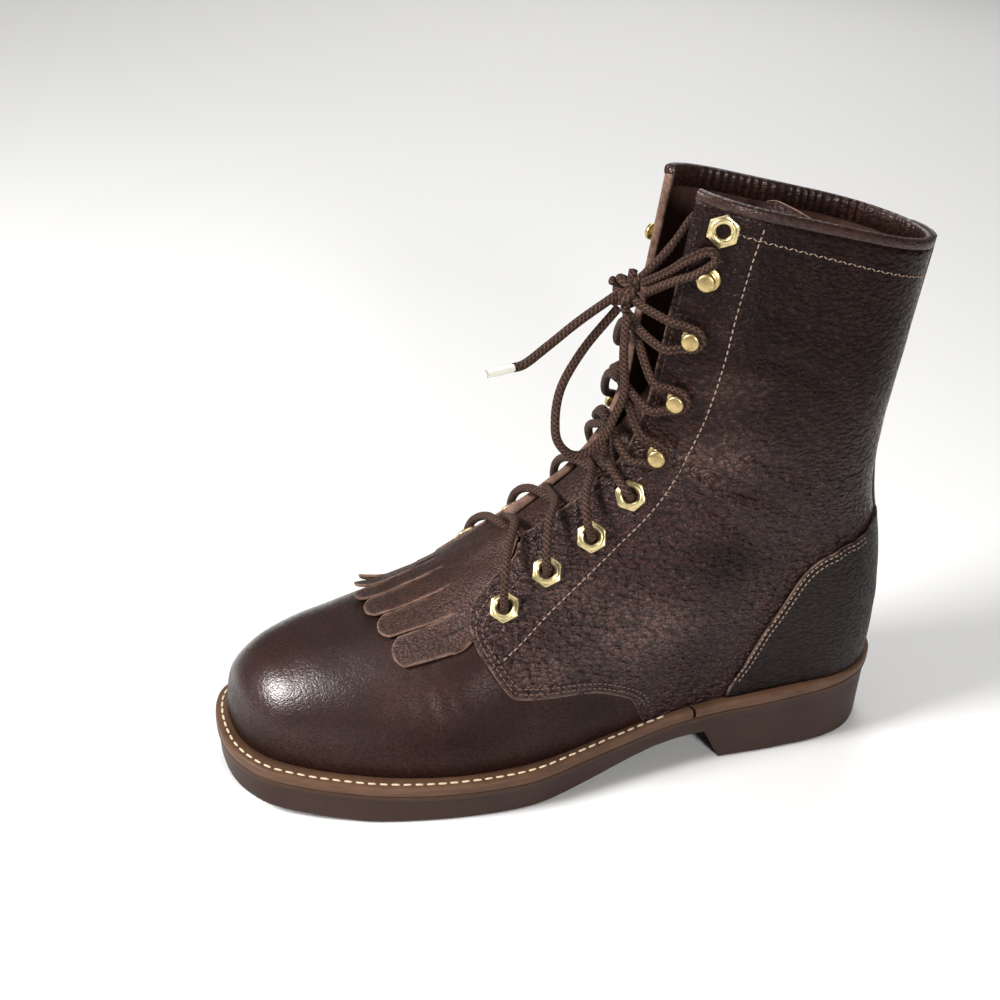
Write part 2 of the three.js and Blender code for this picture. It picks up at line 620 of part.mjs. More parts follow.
// Welt round the forefoot and rand round the heel: one band cut to the upper and parted.
const plate = layered([
  { inset: 0, height: (x) => seat(x) + GAP },
  { inset: 0, height: (x) => seat(x) + GAP + WELT * 0.7 },
  { inset: 0.7, height: (x) => seat(x) + GAP + WELT },
], stations(29));
const quarterRoom = form(QUARTER_STEP + GAP).intersect(
  sidePrism(QUARTER.map((p) => [p.x * LENGTH - GAP, p.z * HEIGHT])),
);
const band = plate.subtract(form(GAP)).subtract(quarterRoom);
const parting = -1.08 * (HEEL_LENGTH + BREAST_SLOPE);
const ahead = sidePrism([
  [-2 * LENGTH, -10], [parting - GAP / 2, -10], [parting - GAP / 2, 90], [-2 * LENGTH, 90],
]);
const behind = sidePrism([[parting + GAP / 2, -10], [LENGTH, -10], [LENGTH, 90], [parting + GAP / 2, 90]]);
add('welt', band.intersect(ahead), TAN, 0.6);
add('heel_rand', band.intersect(behind), TAN, 0.6);

// Insole inside the upper's wall.
const insole = layered([
  { inset: 2, height: (x) => seat(x) + GAP },
  { inset: 2, height: (x) => seat(x) + GAP + INSOLE },
], stations(16)).intersect(form(-WALL - GAP));
add('insole', insole, '#a98a63', 0.8);

// Counter and backstay: bands between two forms larger than the upper.
const shell = form(QUARTER_STEP + GAP + OVERLAY).subtract(form(QUARTER_STEP + GAP, true));
const counter = shell.intersect(sidePrism(scaled(COUNTER))).subtract(belowSeat(GAP + WELT + GAP));
add('counter', counter, DARK, 0.45);
const staySide = (side) => BACKSTAY.map((p) => [side * p.half * BALL_HALF, p.z * HEIGHT]);
const backstay = shell.intersect(endPrism([...staySide(1), ...staySide(-1).reverse()], -0.2 * LENGTH, BALL_HALF));
add('backstay', backstay, LEATHER, 0.42);

// Rolled rim round the collar, from one front corner round the back to the other.
function collarRim() {
  const row = RIM_ROW;
  const path = [];
  const startShare = (side) => shareAcross(row, side * BALL_HALF * column(THROAT, 'row', 'half', row));
  const half = 14;
  for (let k = 0; k <= half; k += 1) {
    const share = startShare(-1) + (1 - startShare(-1)) * (0.5 - 0.5 * Math.cos(Math.PI * k / half));
    path.push({ side: -1, share });
  }
  for (let k = half - 1; k >= 0; k -= 1) {
    const share = startShare(1) + (1 - startShare(1)) * (0.5 - 0.5 * Math.cos(Math.PI * k / half));
    path.push({ side: 1, share });
  }
  const edge = path.map((p) => skin(row, p.side, p.share));
  const up = skin(row + 0.2, -1, 0.5).sub(skin(row, -1, 0.5)).normalize();
  const profile = [[-0.95, 0], [0.95, 0], [1.15, 0.35], [1, 0.8], [0.45, 1], [-0.45, 1], [-1, 0.8], [-1.15, 0.35]];
  const points = [];
  edge.forEach((p, k) => {
    const way = edge[Math.min(k + 1, edge.length - 1)].clone().sub(edge[Math.max(k - 1, 0)]).normalize();
    const out = way.clone().cross(up).normalize();
    if (out.dot(p.clone().sub(V(-0.2 * LENGTH, 0, p.z))) < 0) out.negate();
    const middle = p.clone().addScaledVector(out, (QUARTER_STEP - WALL) / 2).addScaledVector(up, 2 * GAP);
    for (const [a, b] of profile) {
      points.push(middle.clone().addScaledVector(out, a * (WALL + QUARTER_STEP) * 0.62).addScaledVector(up, b * RIM));
    }
  });
  const n = profile.length;
  const last = (edge.length - 1) * n;
  const caps = [];
  for (let j = 1; j < n - 1; j += 1) caps.push([0, j + 1, j], [last, last + j, last + j + 1]);
  return solid(weld(points, [...gridFaces(edge.length, n, true), ...caps]));
}
add('collar_binding', collarRim(), LEATHER, 0.45);

// Tongue: under the throat on the instep, falling back into the shaft above the ankle.
function tongueAt(row, u, level) {
  const half = BALL_HALF * (row < 8 ? 0.3 + 0.02 * (row - 6) : 0.34 + 0.002 * (row - 8));
  const { point, normal } = spot(row, u * half);
  const r = section(row);
  const way = V(r.endX - r.frontX, 0, r.endZ - r.frontZ).normalize();
  const fall = clamp((row - 10.5) / 9.5, 0, 1);
  const depth = 0.15 * LENGTH * fall ** 1.3 - 0.026 * LENGTH * u * fall * fall;
  const flat = clamp((row - 10) / 5, 0, 1);
  point.addScaledVector(way, depth + flat * 3 * u * u).add(V(0, 0.06 * BALL_HALF * fall, 0));
  return point.addScaledVector(normal, -(WALL + GAP * 2.5 + level * TONGUE));
}
const TONGUE_STEPS = 18;
const tongueRows = Array.from({ length: TONGUE_STEPS + 1 }, (_, k) => 5.9 + 14.4 * k / TONGUE_STEPS);
const tongue = strip(tongueRows, 6, tongueAt);
add('tongue', tongue, '#4a3730', 0.75);

// Kiltie: a fringed flap over the vamp whose tab runs up between the quarters.
const FRINGE = 0.68;
const FRINGE_ROWS = [4.45, 4.8, 5.15, 5.5, 5.85, 6.2];
const TAB_ROWS = [6.02, 6.34, 6.7, 7.1];
function kiltieAt(row, across, level) {
  const { point, normal } = spot(row, across);
  const tip = clamp((5.2 - row) / 0.8, 0, 1);
  return point.addScaledVector(normal, GAP * 3 + 1.6 * tip * tip + level * KILTIE);
}
const flap = strip(FRINGE_ROWS, 8, (row, u, level) => kiltieAt(row, reach(row, FRINGE * u), level))
  .add(strip(TAB_ROWS, 4, (row, u, level) => kiltieAt(row, 0.115 * BALL_HALF * u, level)));
const STRIPS = 6;
const slits = [];
for (let k = 1; k < STRIPS; k += 1) {
  const share = FRINGE * (2 * k / STRIPS - 1);
  const [low, high] = [FRINGE_ROWS[0] - 0.1, FRINGE_ROWS[0] + 1.3];
  const tip = spot(low, reach(low, share));
  const root = spot(high, reach(high, share));
  const way = root.point.clone().sub(tip.point);
  const side = new THREE.Vector3().crossVectors(way, tip.normal).normalize();
  const wedge = [];
  for (const [base, half] of [[tip, 2.2], [root, 0.35]]) {
    for (const [s, h] of [[-1, -3], [1, -3], [1, 7], [-1, 7]]) {
      wedge.push(base.point.clone().addScaledVector(side, s * half).addScaledVector(base.normal, h));
    }
  }
  slits.push(solid(weld(wedge, [...gridFaces(2, 4, true), [0, 3, 2], [0, 2, 1], [4, 5, 6], [4, 6, 7]])));
}
add('kiltie', flap.subtract(join(slits)), LEATHER, 0.45);

// Hexagonal brass eyelets and brass speed hooks on both edges.
function onEdge(geometry, place, side, lift) {
  const { point, normal, up } = spot(place.row, reach(place.row, side * place.across));
  const across = new THREE.Vector3().crossVectors(up, normal).normalize();
  const frame = new THREE.Matrix4().makeBasis(across, normal.clone().cross(across), normal);
  frame.setPosition(point.addScaledVector(normal, QUARTER_STEP + lift));
  return geometry.applyMatrix4(frame);
}

function eyelet() {
  const hexagon = new THREE.Shape(Array.from({ length: 6 }, (_, k) => {
    const a = Math.PI * k / 3;
    return new THREE.Vector2(Math.cos(a) * (EYELET_RADIUS - 0.5), Math.sin(a) * (EYELET_RADIUS - 0.5));
  }));
  hexagon.holes.push(new THREE.Path(Array.from({ length: 8 }, (_, k) => {
    const a = -Math.PI * k / 4;
    return new THREE.Vector2(Math.cos(a) * (EYELET_HOLE + 0.5), Math.sin(a) * (EYELET_HOLE + 0.5));
  })));
  const bevel = { bevelThickness: 0.5, bevelSize: 0.5, bevelSegments: 1 };
  const ring = new THREE.ExtrudeGeometry(hexagon, { depth: EYELET_HEIGHT - 1, ...bevel });
  return ring.translate(0, 0, 0.5);
}

function hook() {
  const profile = [
    [0, 0], [HOOK_BASE, 0], [HOOK_BASE, 0.6], [1.7, 1.3], [1.7, 5.9],
    [HOOK_HEAD, 6.5], [HOOK_HEAD, 7.6], [0, 9.4],
  ];
  const turned = new THREE.LatheGeometry(profile.map((p) => new THREE.Vector2(p[0], p[1])), 8);
  return turned.rotateX(Math.PI / 2);
}

for (const [side, word] of [[-1, 'outer'], [1, 'inner']]) {
  EYELETS.forEach((place, k) => {
    add(`eyelet_${word}_${k + 1}`, solid(onEdge(eyelet(), place, side, GAP)), BRASS, 0.3, 1);
  });
  HOOKS.forEach((place, k) => {
    add(`hook_${word}_${k + 1}`, solid(onEdge(hook(), place, side, GAP)), BRASS, 0.3, 1);
  });
}

/** Point above the upper at a row, a signed distance across and a height over the surface. */
function above(row, across, lift) {
  const { point, normal } = spot(row, across);
  return point.addScaledVector(normal, lift);
}

// Crossed runs of lace between the lower eyelets: out of the ring, over the edge, down in the gap.
const OVER = QUARTER_STEP + LACE / 2 + 0.5;
for (let k = 0; k < 3; k += 1) {
  const here = EYELETS[k];
  const next = EYELETS[k + 1];
  const cross = here.row + 0.55 * (next.row - here.row);
  const runs = [-1, 1].map((side) => {
    const out = reach(here.row, side * here.across);
    return solid(tube([
      above(here.row, out, QUARTER_STEP + GAP * 2),
      above(here.row, out, QUARTER_STEP + 7),
      above(here.row + 0.12, out * 0.7, OVER + 2.6),
      above(here.row + 0.3, out * 0.42, OVER + 1),
      above(cross, 0, 1.2),
      above(cross + 0.2, -side * 6, 0.4),
    ], 5));
  });
  add(`lace_cross_${k + 1}`, join(runs), LACE_BROWN, 0.85);
}

/** Point beside a hook: outwards along the leather, up the edge, and above the leather. */
function beside(place, side, outwards, upwards, lift) {
  const { point, normal, up } = spot(place.row, reach(place.row, side * place.across));
  const away = new THREE.Vector3().crossVectors(up, normal).normalize();
  if (away.y * side < 0) away.negate();
  return point.addScaledVector(away, outwards).addScaledVector(up, upwards).addScaledVector(normal, lift);
}

// Runs over the top eyelet of the instep and round the speed hooks, joined in the gap.
const LOOP = 6.3;
const KNOT_ROW = HOOKS[2].row + 0.1;
const ankle = [-1, 1].map((side) => {
  const out = reach(EYELETS[3].row, side * EYELETS[3].across);
  return solid(tube([
    above(EYELETS[3].row, out, QUARTER_STEP + GAP * 2),
    above(EYELETS[3].row, out, QUARTER_STEP + 7),
    above(EYELETS[3].row + 0.2, out * 0.66, OVER + 2.6),
    above(EYELETS[3].row + 0.75, 0, 4.5),
  ], 4));
});
for (const side of [-1, 1]) {
  for (let k = 0; k < 3; k += 1) {
    const place = HOOKS[k];
    const before = k === 0 ? EYELETS[3].row + 0.75 : (HOOKS[k - 1].row + place.row) / 2;
    const after = k === 2 ? KNOT_ROW + 0.25 : (place.row + HOOKS[k + 1].row) / 2;
    ankle.push(solid(tube([
      above(before, 0, 4.5),
      beside(place, side, -7, -LOOP * 1.15, OVER + 2),
      beside(place, side, 0, -LOOP, OVER + 1.05),
      beside(place, side, LOOP, 0, OVER + 1.05),
      beside(place, side, 0, LOOP, OVER + 1.05),
      beside(place, side, -7, LOOP * 1.15, OVER + 2),
      above(after, 0, 4.5),
    ], 8)));
  }
}
add('lace_cross_4', join(ankle), LACE_BROWN, 0.85);

// Bow: a knot over the gap between the two upper hooks, two loops and two ends.
const knotAt = above(KNOT_ROW, -0.5 * LACE, 2.85 * LACE);
const KNOT = V(1.5, 1.875, 1.375).multiplyScalar(LACE);
const knot = new THREE.SphereGeometry(1, 10, 8).scale(KNOT.x, KNOT.y, KNOT.z);
knot.translate(knotAt.x, knotAt.y, knotAt.z);
add('lace_knot', solid(knot), LACE_BROWN, 0.85);

/** Points given from the knot: x and z as seen from the side, y across. */
const fromKnot = (points) => points.map(([x, y, z]) => knotAt.clone().add(V(x, y, z)));

/** Offset at which a cord leaves the knot in a direction, a gap clear of its surface. */
function leaving(x, y, z) {
  const way = V(x, y, z).normalize();
  const reachOut = 1 / Math.hypot(way.x / KNOT.x, way.y / KNOT.y, way.z / KNOT.z);
  return way.multiplyScalar(reachOut + GAP + 0.4).toArray();
}

add('lace_loop_long', tube(fromKnot([
  leaving(-5, -3, -4), [-20, -7, -20], [-29, -10, -36], [-30, -12, -50], [-26, -12, -60], [-18, -12, -65],
  [-11, -13, -61], [-5, -13, -50], [-2, -12, -38], [-2, -10, -22], leaving(-0.4, -3, -6),
]), 13), LACE_BROWN, 0.85);
add('lace_loop_short', tube(fromKnot([
  leaving(2, -5, 5), [8, -18, 18], [12, -25, 28], [17, -29, 31], [17.5, -29, 25], [12, -25.5, 16], [5.5, -16.5, 4.5],
  leaving(2, -7, 0.6),
]), 9), LACE_BROWN, 0.85);
add('lace_end_long', tube(fromKnot([
  leaving(-7, -1, 1), [-22, -6, -7], [-36, -11, -16], [-46, -15, -21],
]), 4), LACE_BROWN, 0.85);
add('lace_end_short', tube(fromKnot([
  leaving(2, 1, 6), [8, 0, 14], [16, 1, 24], [23, 3, 32],
]), 4), LACE_BROWN, 0.85);
add('aglet', tube(fromKnot([[-46.5, -15.2, -21.3], [-61, -20, -23]]), 1, 8, LACE * 0.8), '#d9d6cc', 0.35);

export default group;
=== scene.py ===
"""Looks of the left lace-up western boot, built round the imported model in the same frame."""

import logging
import math
from dataclasses import dataclass, field
from enum import Enum, IntEnum
from typing import Callable, Optional, Sequence

import bpy
import numpy as np
from mathutils import Matrix
from mathutils.kdtree import KDTree


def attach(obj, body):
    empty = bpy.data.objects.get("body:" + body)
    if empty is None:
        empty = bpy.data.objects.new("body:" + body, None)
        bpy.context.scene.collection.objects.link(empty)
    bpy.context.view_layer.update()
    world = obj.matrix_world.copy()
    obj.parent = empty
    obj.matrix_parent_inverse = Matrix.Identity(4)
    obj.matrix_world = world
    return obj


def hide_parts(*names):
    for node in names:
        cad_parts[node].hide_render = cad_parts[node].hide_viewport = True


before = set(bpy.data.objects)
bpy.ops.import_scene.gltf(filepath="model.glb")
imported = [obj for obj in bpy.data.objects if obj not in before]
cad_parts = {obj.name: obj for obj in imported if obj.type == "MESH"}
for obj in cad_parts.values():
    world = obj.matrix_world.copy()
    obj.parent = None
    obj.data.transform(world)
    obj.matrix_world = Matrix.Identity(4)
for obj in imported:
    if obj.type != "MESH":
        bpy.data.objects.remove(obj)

LOG = logging.getLogger("boot")

# Sizes in millimetres, x from the rearmost point of the sole, as in the part's own source.
LENGTH = 305.0
HEIGHT = 261.0
BALL_HALF = 55.0
HEEL_SEAT, BALL_SEAT, TOE_SEAT = 32.6, 14.3, 20.5
TOE_SPRING, SHANK_LIFT = 6.6, 15.5
HEEL_LENGTH, BREAST_SLOPE = 85.0, 8.5
HEEL_CENTRE = 40.0
GAP, WALL, STEP, OVERLAY = 0.3, 2.2, 1.2, 1.1
INSOLE, TONGUE = 3.4, 2.6
LACE, LACE_RADIUS = 4.0, 1.88
COLLAR = 20
RIM_ROW = COLLAR - 0.235
# Wear of cut edges: how far it reaches in, and the heights over the sole and up the shaft that it keeps to.
WEAR_REACH, WEAR_FOOT, WEAR_TOP = 0.7, 6.0, 226.0


class Side(IntEnum):
    """Sides of the boot by the sign of y."""

    OUTER = -1
    INNER = 1


OUTER, INNER = Side.OUTER, Side.INNER


# Camera of the photograph: target, where it looks from, roll, lens and principal point.
CAMERA_AT = (-347.9, -552.6, 430.2)
CAMERA_TO = (-150.0, 0.0, 110.0)
CAMERA_ROLL = 4.83
CAMERA_LENS = 55.57
CAMERA_SHIFT = (-0.0749, 0.0172)

OUTLINE = np.array([
    # along   outer   inner
    [0.000, -0.070, 0.070], [0.006, 0.258, 0.320], [0.020, 0.460, 0.480], [0.050, 0.662, 0.635],
    [0.100, 0.805, 0.768], [0.150, 0.905, 0.858], [0.200, 0.985, 0.915], [0.300, 1.060, 0.965],
    [0.400, 1.055, 0.920], [0.500, 0.935, 0.815], [0.600, 0.820, 0.750], [0.700, 0.765, 0.735],
    [0.800, 0.745, 0.735], [0.900, 0.680, 0.690], [0.950, 0.560, 0.570], [0.980, 0.393, 0.400],
    [0.995, 0.245, 0.250], [1.000, 0.000, 0.000],
])
SEAT = np.array([
    # along  toe   ball   heel
    [0.000, 1.0, 0.000, 0.000], [0.148, 0.3, 0.700, 0.000], [0.295, 0.0, 1.000, 0.000],
    [0.410, 0.0, 0.975, 0.025], [0.541, 0.0, 0.700, 0.300], [0.672, 0.0, 0.355, 0.645],
    [0.803, 0.0, 0.220, 0.780], [1.000, 0.0, 0.000, 1.000],
])
FOOT = np.array([
    # front x  front z  end x  outer  inner  ridge  widest  full  tuck
    [0.982, 0.136, 0.982, 0.000, 0.000, 0.100, 0.58, 2.25, 0.00],
    [0.972, 0.176, 0.972, 0.360, 0.280, 0.104, 0.60, 2.25, 0.02],
    [0.941, 0.212, 0.941, 0.612, 0.440, 0.107, 0.61, 2.20, 0.05],
    [0.892, 0.239, 0.892, 0.778, 0.578, 0.110, 0.62, 2.15, 0.06],
    [0.826, 0.263, 0.826, 0.922, 0.685, 0.109, 0.63, 2.10, 0.06],
    [0.754, 0.291, 0.754, 1.018, 0.760, 0.105, 0.64, 2.08, 0.06],
    [0.682, 0.330, 0.682, 1.055, 0.790, 0.090, 0.66, 2.05, 0.06],
    [0.623, 0.379, 0.616, 1.027, 0.755, 0.076, 0.68, 2.00, 0.05],
    [0.570, 0.429, 0.541, 0.955, 0.700, 0.062, 0.70, 2.00, 0.04],
    [0.528, 0.473, 0.452, 0.855, 0.664, 0.047, 0.68, 2.00, 0.04],
    [0.493, 0.513, 0.354, 0.773, 0.645, 0.033, 0.62, 2.00, 0.06],
    [0.467, 0.554, 0.249, 0.718, 0.655, 0.022, 0.56, 2.00, 0.08],
    [0.451, 0.594, 0.144, 0.682, 0.655, 0.011, 0.50, 2.00, 0.10],
    [0.441, 0.636, 0.052, 0.655, 0.636, 0.004, 0.44, 2.05, 0.08],
])
SHAFT = np.array([
    # front x  front z  end z  outer  inner  widest  full  tuck
    [0.434, 0.678, 0.115, 0.636, 0.627, 0.40, 2.05, 0.05],
    [0.428, 0.722, 0.284, 0.627, 0.618, 0.38, 2.10, 0.02],
    [0.421, 0.768, 0.414, 0.609, 0.609, 0.36, 2.15, 0.00],
    [0.415, 0.816, 0.540, 0.591, 0.591, 0.35, 2.20, 0.00],
    [0.408, 0.870, 0.667, 0.564, 0.564, 0.34, 2.30, 0.00],
    [0.402, 0.931, 0.793, 0.536, 0.536, 0.33, 2.40, 0.00],
    [0.395, 1.000, 0.918, 0.518, 0.518, 0.32, 2.50, 0.00],
])
BACK = np.array([
    # height  x  turn
    [0.050, -0.0197, 0.600], [0.138, -0.0170, 0.600], [0.200, -0.0151, 0.605], [0.253, -0.0151, 0.610],
    [0.307, -0.0190, 0.620], [0.360, -0.0262, 0.630], [0.414, -0.0361, 0.640], [0.467, -0.0459, 0.650],
    [0.521, -0.0508, 0.650], [0.582, -0.0492, 0.640], [0.659, -0.0410, 0.625], [0.736, -0.0328, 0.640],
    [0.820, -0.0246, 0.680], [0.904, -0.0164, 0.740], [1.050, -0.0082, 0.780],
])
THROAT = np.array([
    # row  half width
    [6.62, 0.130], [6.90, 0.190], [7.60, 0.225], [9.00, 0.250], [11.0, 0.260], [13.0, 0.270],
    [16.0, 0.290], [20.4, 0.300],
])
QUARTER = np.array([
    # along from the heel  height, from the sole up the front and back round behind the heel
    [-0.403, 0.02], [-0.413, 0.115], [-0.423, 0.146], [-0.436, 0.160], [-0.459, 0.174], [-0.489, 0.187],
    [-0.531, 0.195], [-0.565, 0.199], [-0.598, 0.204], [-0.6193, 0.2105], [-0.6354, 0.232], [-0.6476, 0.254],
    [-0.6570, 0.270], [-0.6633, 0.286], [-0.6640, 0.302], [-0.6590, 0.3156], [-0.6497, 0.329],
    [-0.6366, 0.344], [-0.6140, 0.367], [-0.5880, 0.394], [-0.560, 0.450], [-0.535, 0.600],
    [-0.520, 1.12], [0.100, 1.12], [0.100, 0.02],
]) * [LENGTH, HEIGHT]
COUNTER_EDGE = np.array([
    # height  depth forward of the sole's back
    [0.020, 0.290], [0.155, 0.277], [0.192, 0.259], [0.246, 0.238], [0.300, 0.210], [0.350, 0.184],
    [0.377, 0.162], [0.395, 0.130], [0.408, 0.090], [0.417, 0.062], [0.420, 0.040],
])
BACKSTAY = np.array([
    # height  half width
    [0.420, 0.235], [0.480, 0.225], [0.540, 0.205], [0.620, 0.190], [0.740, 0.175], [0.860, 0.180],
    [1.100, 0.190],
])
# Rows, and shares of the half width to either side of the ridge.
EYELETS = np.array([[7.10, 0.61], [8.20, 0.58], [9.55, 0.60], [11.1, 0.60], [19.38, 0.85]])
HOOKS = np.array([[12.85, 0.64], [14.9, 0.70], [16.8, 0.76], [18.3, 0.80]])


def climb(value: np.ndarray, start: float, width: float) -> np.ndarray:
    """0 up to the start, 1 past the start plus the width, straight between."""
    return np.clip((value - start) / width, 0, 1)


def eased(t: np.ndarray) -> np.ndarray:
    """0 to 1 with half a cosine wave, slow at both ends."""
    return 0.5 - 0.5 * np.cos(np.pi * t)


def smooth_column(table: np.ndarray, column: int, at: np.ndarray) -> np.ndarray:
    """Value of a table column at keys in its first column, by cubic steps that never overshoot.

    Args:
        table: Rows sorted by their first column.
        column: Which column to read.
        at: Keys to read it at.
    Returns:
        Values, constant past both ends.
    """
    key, value = table[:, 0], table[:, column]
    slope = np.diff(value) / np.diff(key)
    inner = slope[:-1] * slope[1:]
    total = slope[:-1] + slope[1:]
    safe = np.where(inner > 0, total, 1.0)
    tangent = np.concatenate([[slope[0]], np.where(inner > 0, 2 * inner / safe, 0.0), [slope[-1]]])
    at = np.clip(np.asarray(at, float), key[0], key[-1])
    i = np.clip(np.searchsorted(key, at, side="right") - 1, 0, len(key) - 2)
    width = key[i + 1] - key[i]
    s = (at - key[i]) / width
    return (value[i] * (2 * s**3 - 3 * s**2 + 1) + tangent[i] * width * (s**3 - 2 * s**2 + s)
            + value[i + 1] * (3 * s**2 - 2 * s**3) + tangent[i + 1] * width * (s**3 - s**2))


def seat(x: np.ndarray) -> np.ndarray:
    """Height of the outsole's top face at x."""
    along = 1 + np.asarray(x, float) / LENGTH
    parts = ((1, TOE_SEAT), (2, BALL_SEAT), (3, HEEL_SEAT))
    return sum(height * smooth_column(SEAT, column, along) for column, height in parts)


def tread(x: np.ndarray) -> np.ndarray:
    """Height of the outsole's underside: toe spring, flat forefoot, arch, slanted breast, heel."""
    x = np.asarray(x, float)
    arch = climb(x, -0.59 * LENGTH, 0.27 * LENGTH)
    toe = climb(-0.79 * LENGTH - x, 0, 0.21 * LENGTH)
    sole = SHANK_LIFT * arch**2 * (3 - 2 * arch) + TOE_SPRING * toe**1.7
    ramp = SHANK_LIFT * climb(-HEEL_LENGTH - x, 0, BREAST_SLOPE)
    return np.where(x > -HEEL_LENGTH - BREAST_SLOPE, ramp, sole)


def back_x(z: np.ndarray) -> np.ndarray:
    """x of the back line at a height."""
    return LENGTH * smooth_column(BACK, 1, np.asarray(z, float) / HEIGHT)


def opened(share: np.ndarray, full: np.ndarray) -> np.ndarray:
    """How far a half section has opened: (1 - (1 - share)^full)^(1 / full)."""
    return (1 - (1 - np.clip(share, 0, 1)) ** full) ** (1 / full)


def section_rows() -> np.ndarray:
    """Section rows in millimetres with a mirrored row before the toe and straight ones after.

    Returns:
        Rows of front x, front z, end x, end z, outer, inner, ridge, widest, full, tuck.
    """
    foot = np.column_stack([
        -LENGTH * FOOT[:, 0], HEIGHT * FOOT[:, 1], -LENGTH * FOOT[:, 2], seat(-LENGTH * FOOT[:, 2]) - 12,
        BALL_HALF * FOOT[:, 3:6], FOOT[:, 6:],
    ])
    end = HEIGHT * SHAFT[:, 2]
    shaft = np.column_stack([
        -LENGTH * SHAFT[:, 0], HEIGHT * SHAFT[:, 1], back_x(end), end,
        BALL_HALF * SHAFT[:, 3:5], 0 * end, SHAFT[:, 5:],
    ])
    rows = np.vstack([foot, shaft])
    before = rows[1] * [1, 1, 1, 1, -1, -1, 1, 1, 1, 1]
    step = rows[-1] - rows[-2]
    return np.vstack([before, rows, rows[-1] + step, rows[-1] + 2 * step, rows[-1] + 3 * step])


ROWS = section_rows()


def section(row: np.ndarray) -> np.ndarray:
    """Section values at fractional rows, by Catmull-Rom steps; the last axis holds the ten values."""
    row = np.clip(np.asarray(row, float), 0, COLLAR + 0.999)
    i = np.floor(row).astype(int)
    f = (row - i)[..., None]
    p, q, r, s = ROWS[i], ROWS[i + 1], ROWS[i + 2], ROWS[i + 3]
    return 0.5 * (2 * q + (r - p) * f + (2 * p - 5 * q + 4 * r - s) * f**2 + (3 * q - p - 3 * r + s) * f**3)


def skin(row: np.ndarray, side: np.ndarray, share: np.ndarray) -> np.ndarray:
    """Points of the upper's outer surface.

    y is the ridge plus the half width times how far the section has opened, turned under
    towards the sole and closed towards the back line.

    Args:
        row: Fractional section rows.
        side: OUTER or INNER.
        share: Share down each section from the ridge.
    Returns:
        Points with x, y, z on the last axis.
    """
    r = section(row)
    share = np.asarray(share, float)
    x = r[..., 0] + (r[..., 2] - r[..., 0]) * share
    z = r[..., 1] + (r[..., 3] - r[..., 1]) * share
    width = np.maximum(0, np.where(np.asarray(side) < 0, r[..., 4], r[..., 5]))
    widest, full, tuck = r[..., 7], r[..., 8], r[..., 9]
    under = np.clip((share - widest) / (1 - widest), 0, 1)
    turn = BALL_HALF * smooth_column(BACK, 2, z / HEIGHT)
    back = opened((back_x(z) - x) / turn, 2.15)
    y = width * opened(share / widest, full) * (1 - tuck * under**2 * (3 - 2 * under)) * back
    return np.stack([x, r[..., 6] + side * y, z], -1)


def share_across(row: np.ndarray, across: np.ndarray) -> np.ndarray:
    """Share down the section at which the surface is a distance from the ridge."""
    r = section(row)
    width = np.where(np.asarray(across) < 0, r[..., 4], r[..., 5])
    a = np.clip(np.abs(across) / np.maximum(width, 1e-6), 0, 0.995)
    return r[..., 7] * (1 - (1 - a ** r[..., 8]) ** (1 / r[..., 8]))


def reach(row: np.ndarray, share: np.ndarray) -> np.ndarray:
    """Distance across the ridge for a signed share of the half width on that side."""
    r = section(row)
    return share * np.where(np.asarray(share) < 0, r[..., 4], r[..., 5])


def on_ridge(row: np.ndarray, across: np.ndarray) -> tuple[np.ndarray, np.ndarray, np.ndarray]:
    """Points, outward normals and up-the-ridge directions at signed distances across the ridge."""
    row, across = np.broadcast_arrays(np.asarray(row, float), np.asarray(across, float))
    side = np.where(across < 0, OUTER, INNER)
    width = np.maximum(np.abs(across), 0.01) * side

    def place(r: np.ndarray, a: np.ndarray) -> np.ndarray:
        return skin(r, side, share_across(r, a))

    point = place(row, width)
    up = place(row + 0.05, width) - place(row - 0.05, width)
    along = (place(row, width + 0.6 * side) - point) * side[..., None]
    normal = unit(np.cross(along, up))
    flip = np.where((normal * [-1, 0, 1]).sum(-1) < 0, -1.0, 1.0)[..., None]
    return point, normal * flip, unit(up)


def row_at(x: np.ndarray, z: np.ndarray) -> tuple[np.ndarray, np.ndarray]:
    """Row and share of the section line that passes a point of the side view, by bisection."""
    low, high = np.zeros_like(x, dtype=float), np.full_like(x, COLLAR + 0.9, dtype=float)
    for _ in range(26):
        mid = (low + high) / 2
        r = section(mid)
        turn = (r[..., 2] - r[..., 0]) * (z - r[..., 1]) - (r[..., 3] - r[..., 1]) * (x - r[..., 0])
        low, high = np.where(turn > 0, mid, low), np.where(turn > 0, high, mid)
    r = section(low)
    way = np.stack([r[..., 2] - r[..., 0], r[..., 3] - r[..., 1]], -1)
    off = np.stack([x - r[..., 0], z - r[..., 1]], -1)
    return low, np.clip((off * way).sum(-1) / (way**2).sum(-1), 0, 1)


def side_points(x: np.ndarray, z: np.ndarray, side: int) -> np.ndarray:
    """Points of the outer surface seen at x and z from the given side."""
    row, share = row_at(np.asarray(x, float), np.asarray(z, float))
    point = skin(row, side, share)
    return np.stack([np.asarray(x, float), point[..., 1], np.asarray(z, float)], -1)


def unit(v: np.ndarray) -> np.ndarray:
    """Vectors of length one."""
    return v / np.maximum(np.linalg.norm(v, axis=-1, keepdims=True), 1e-9)


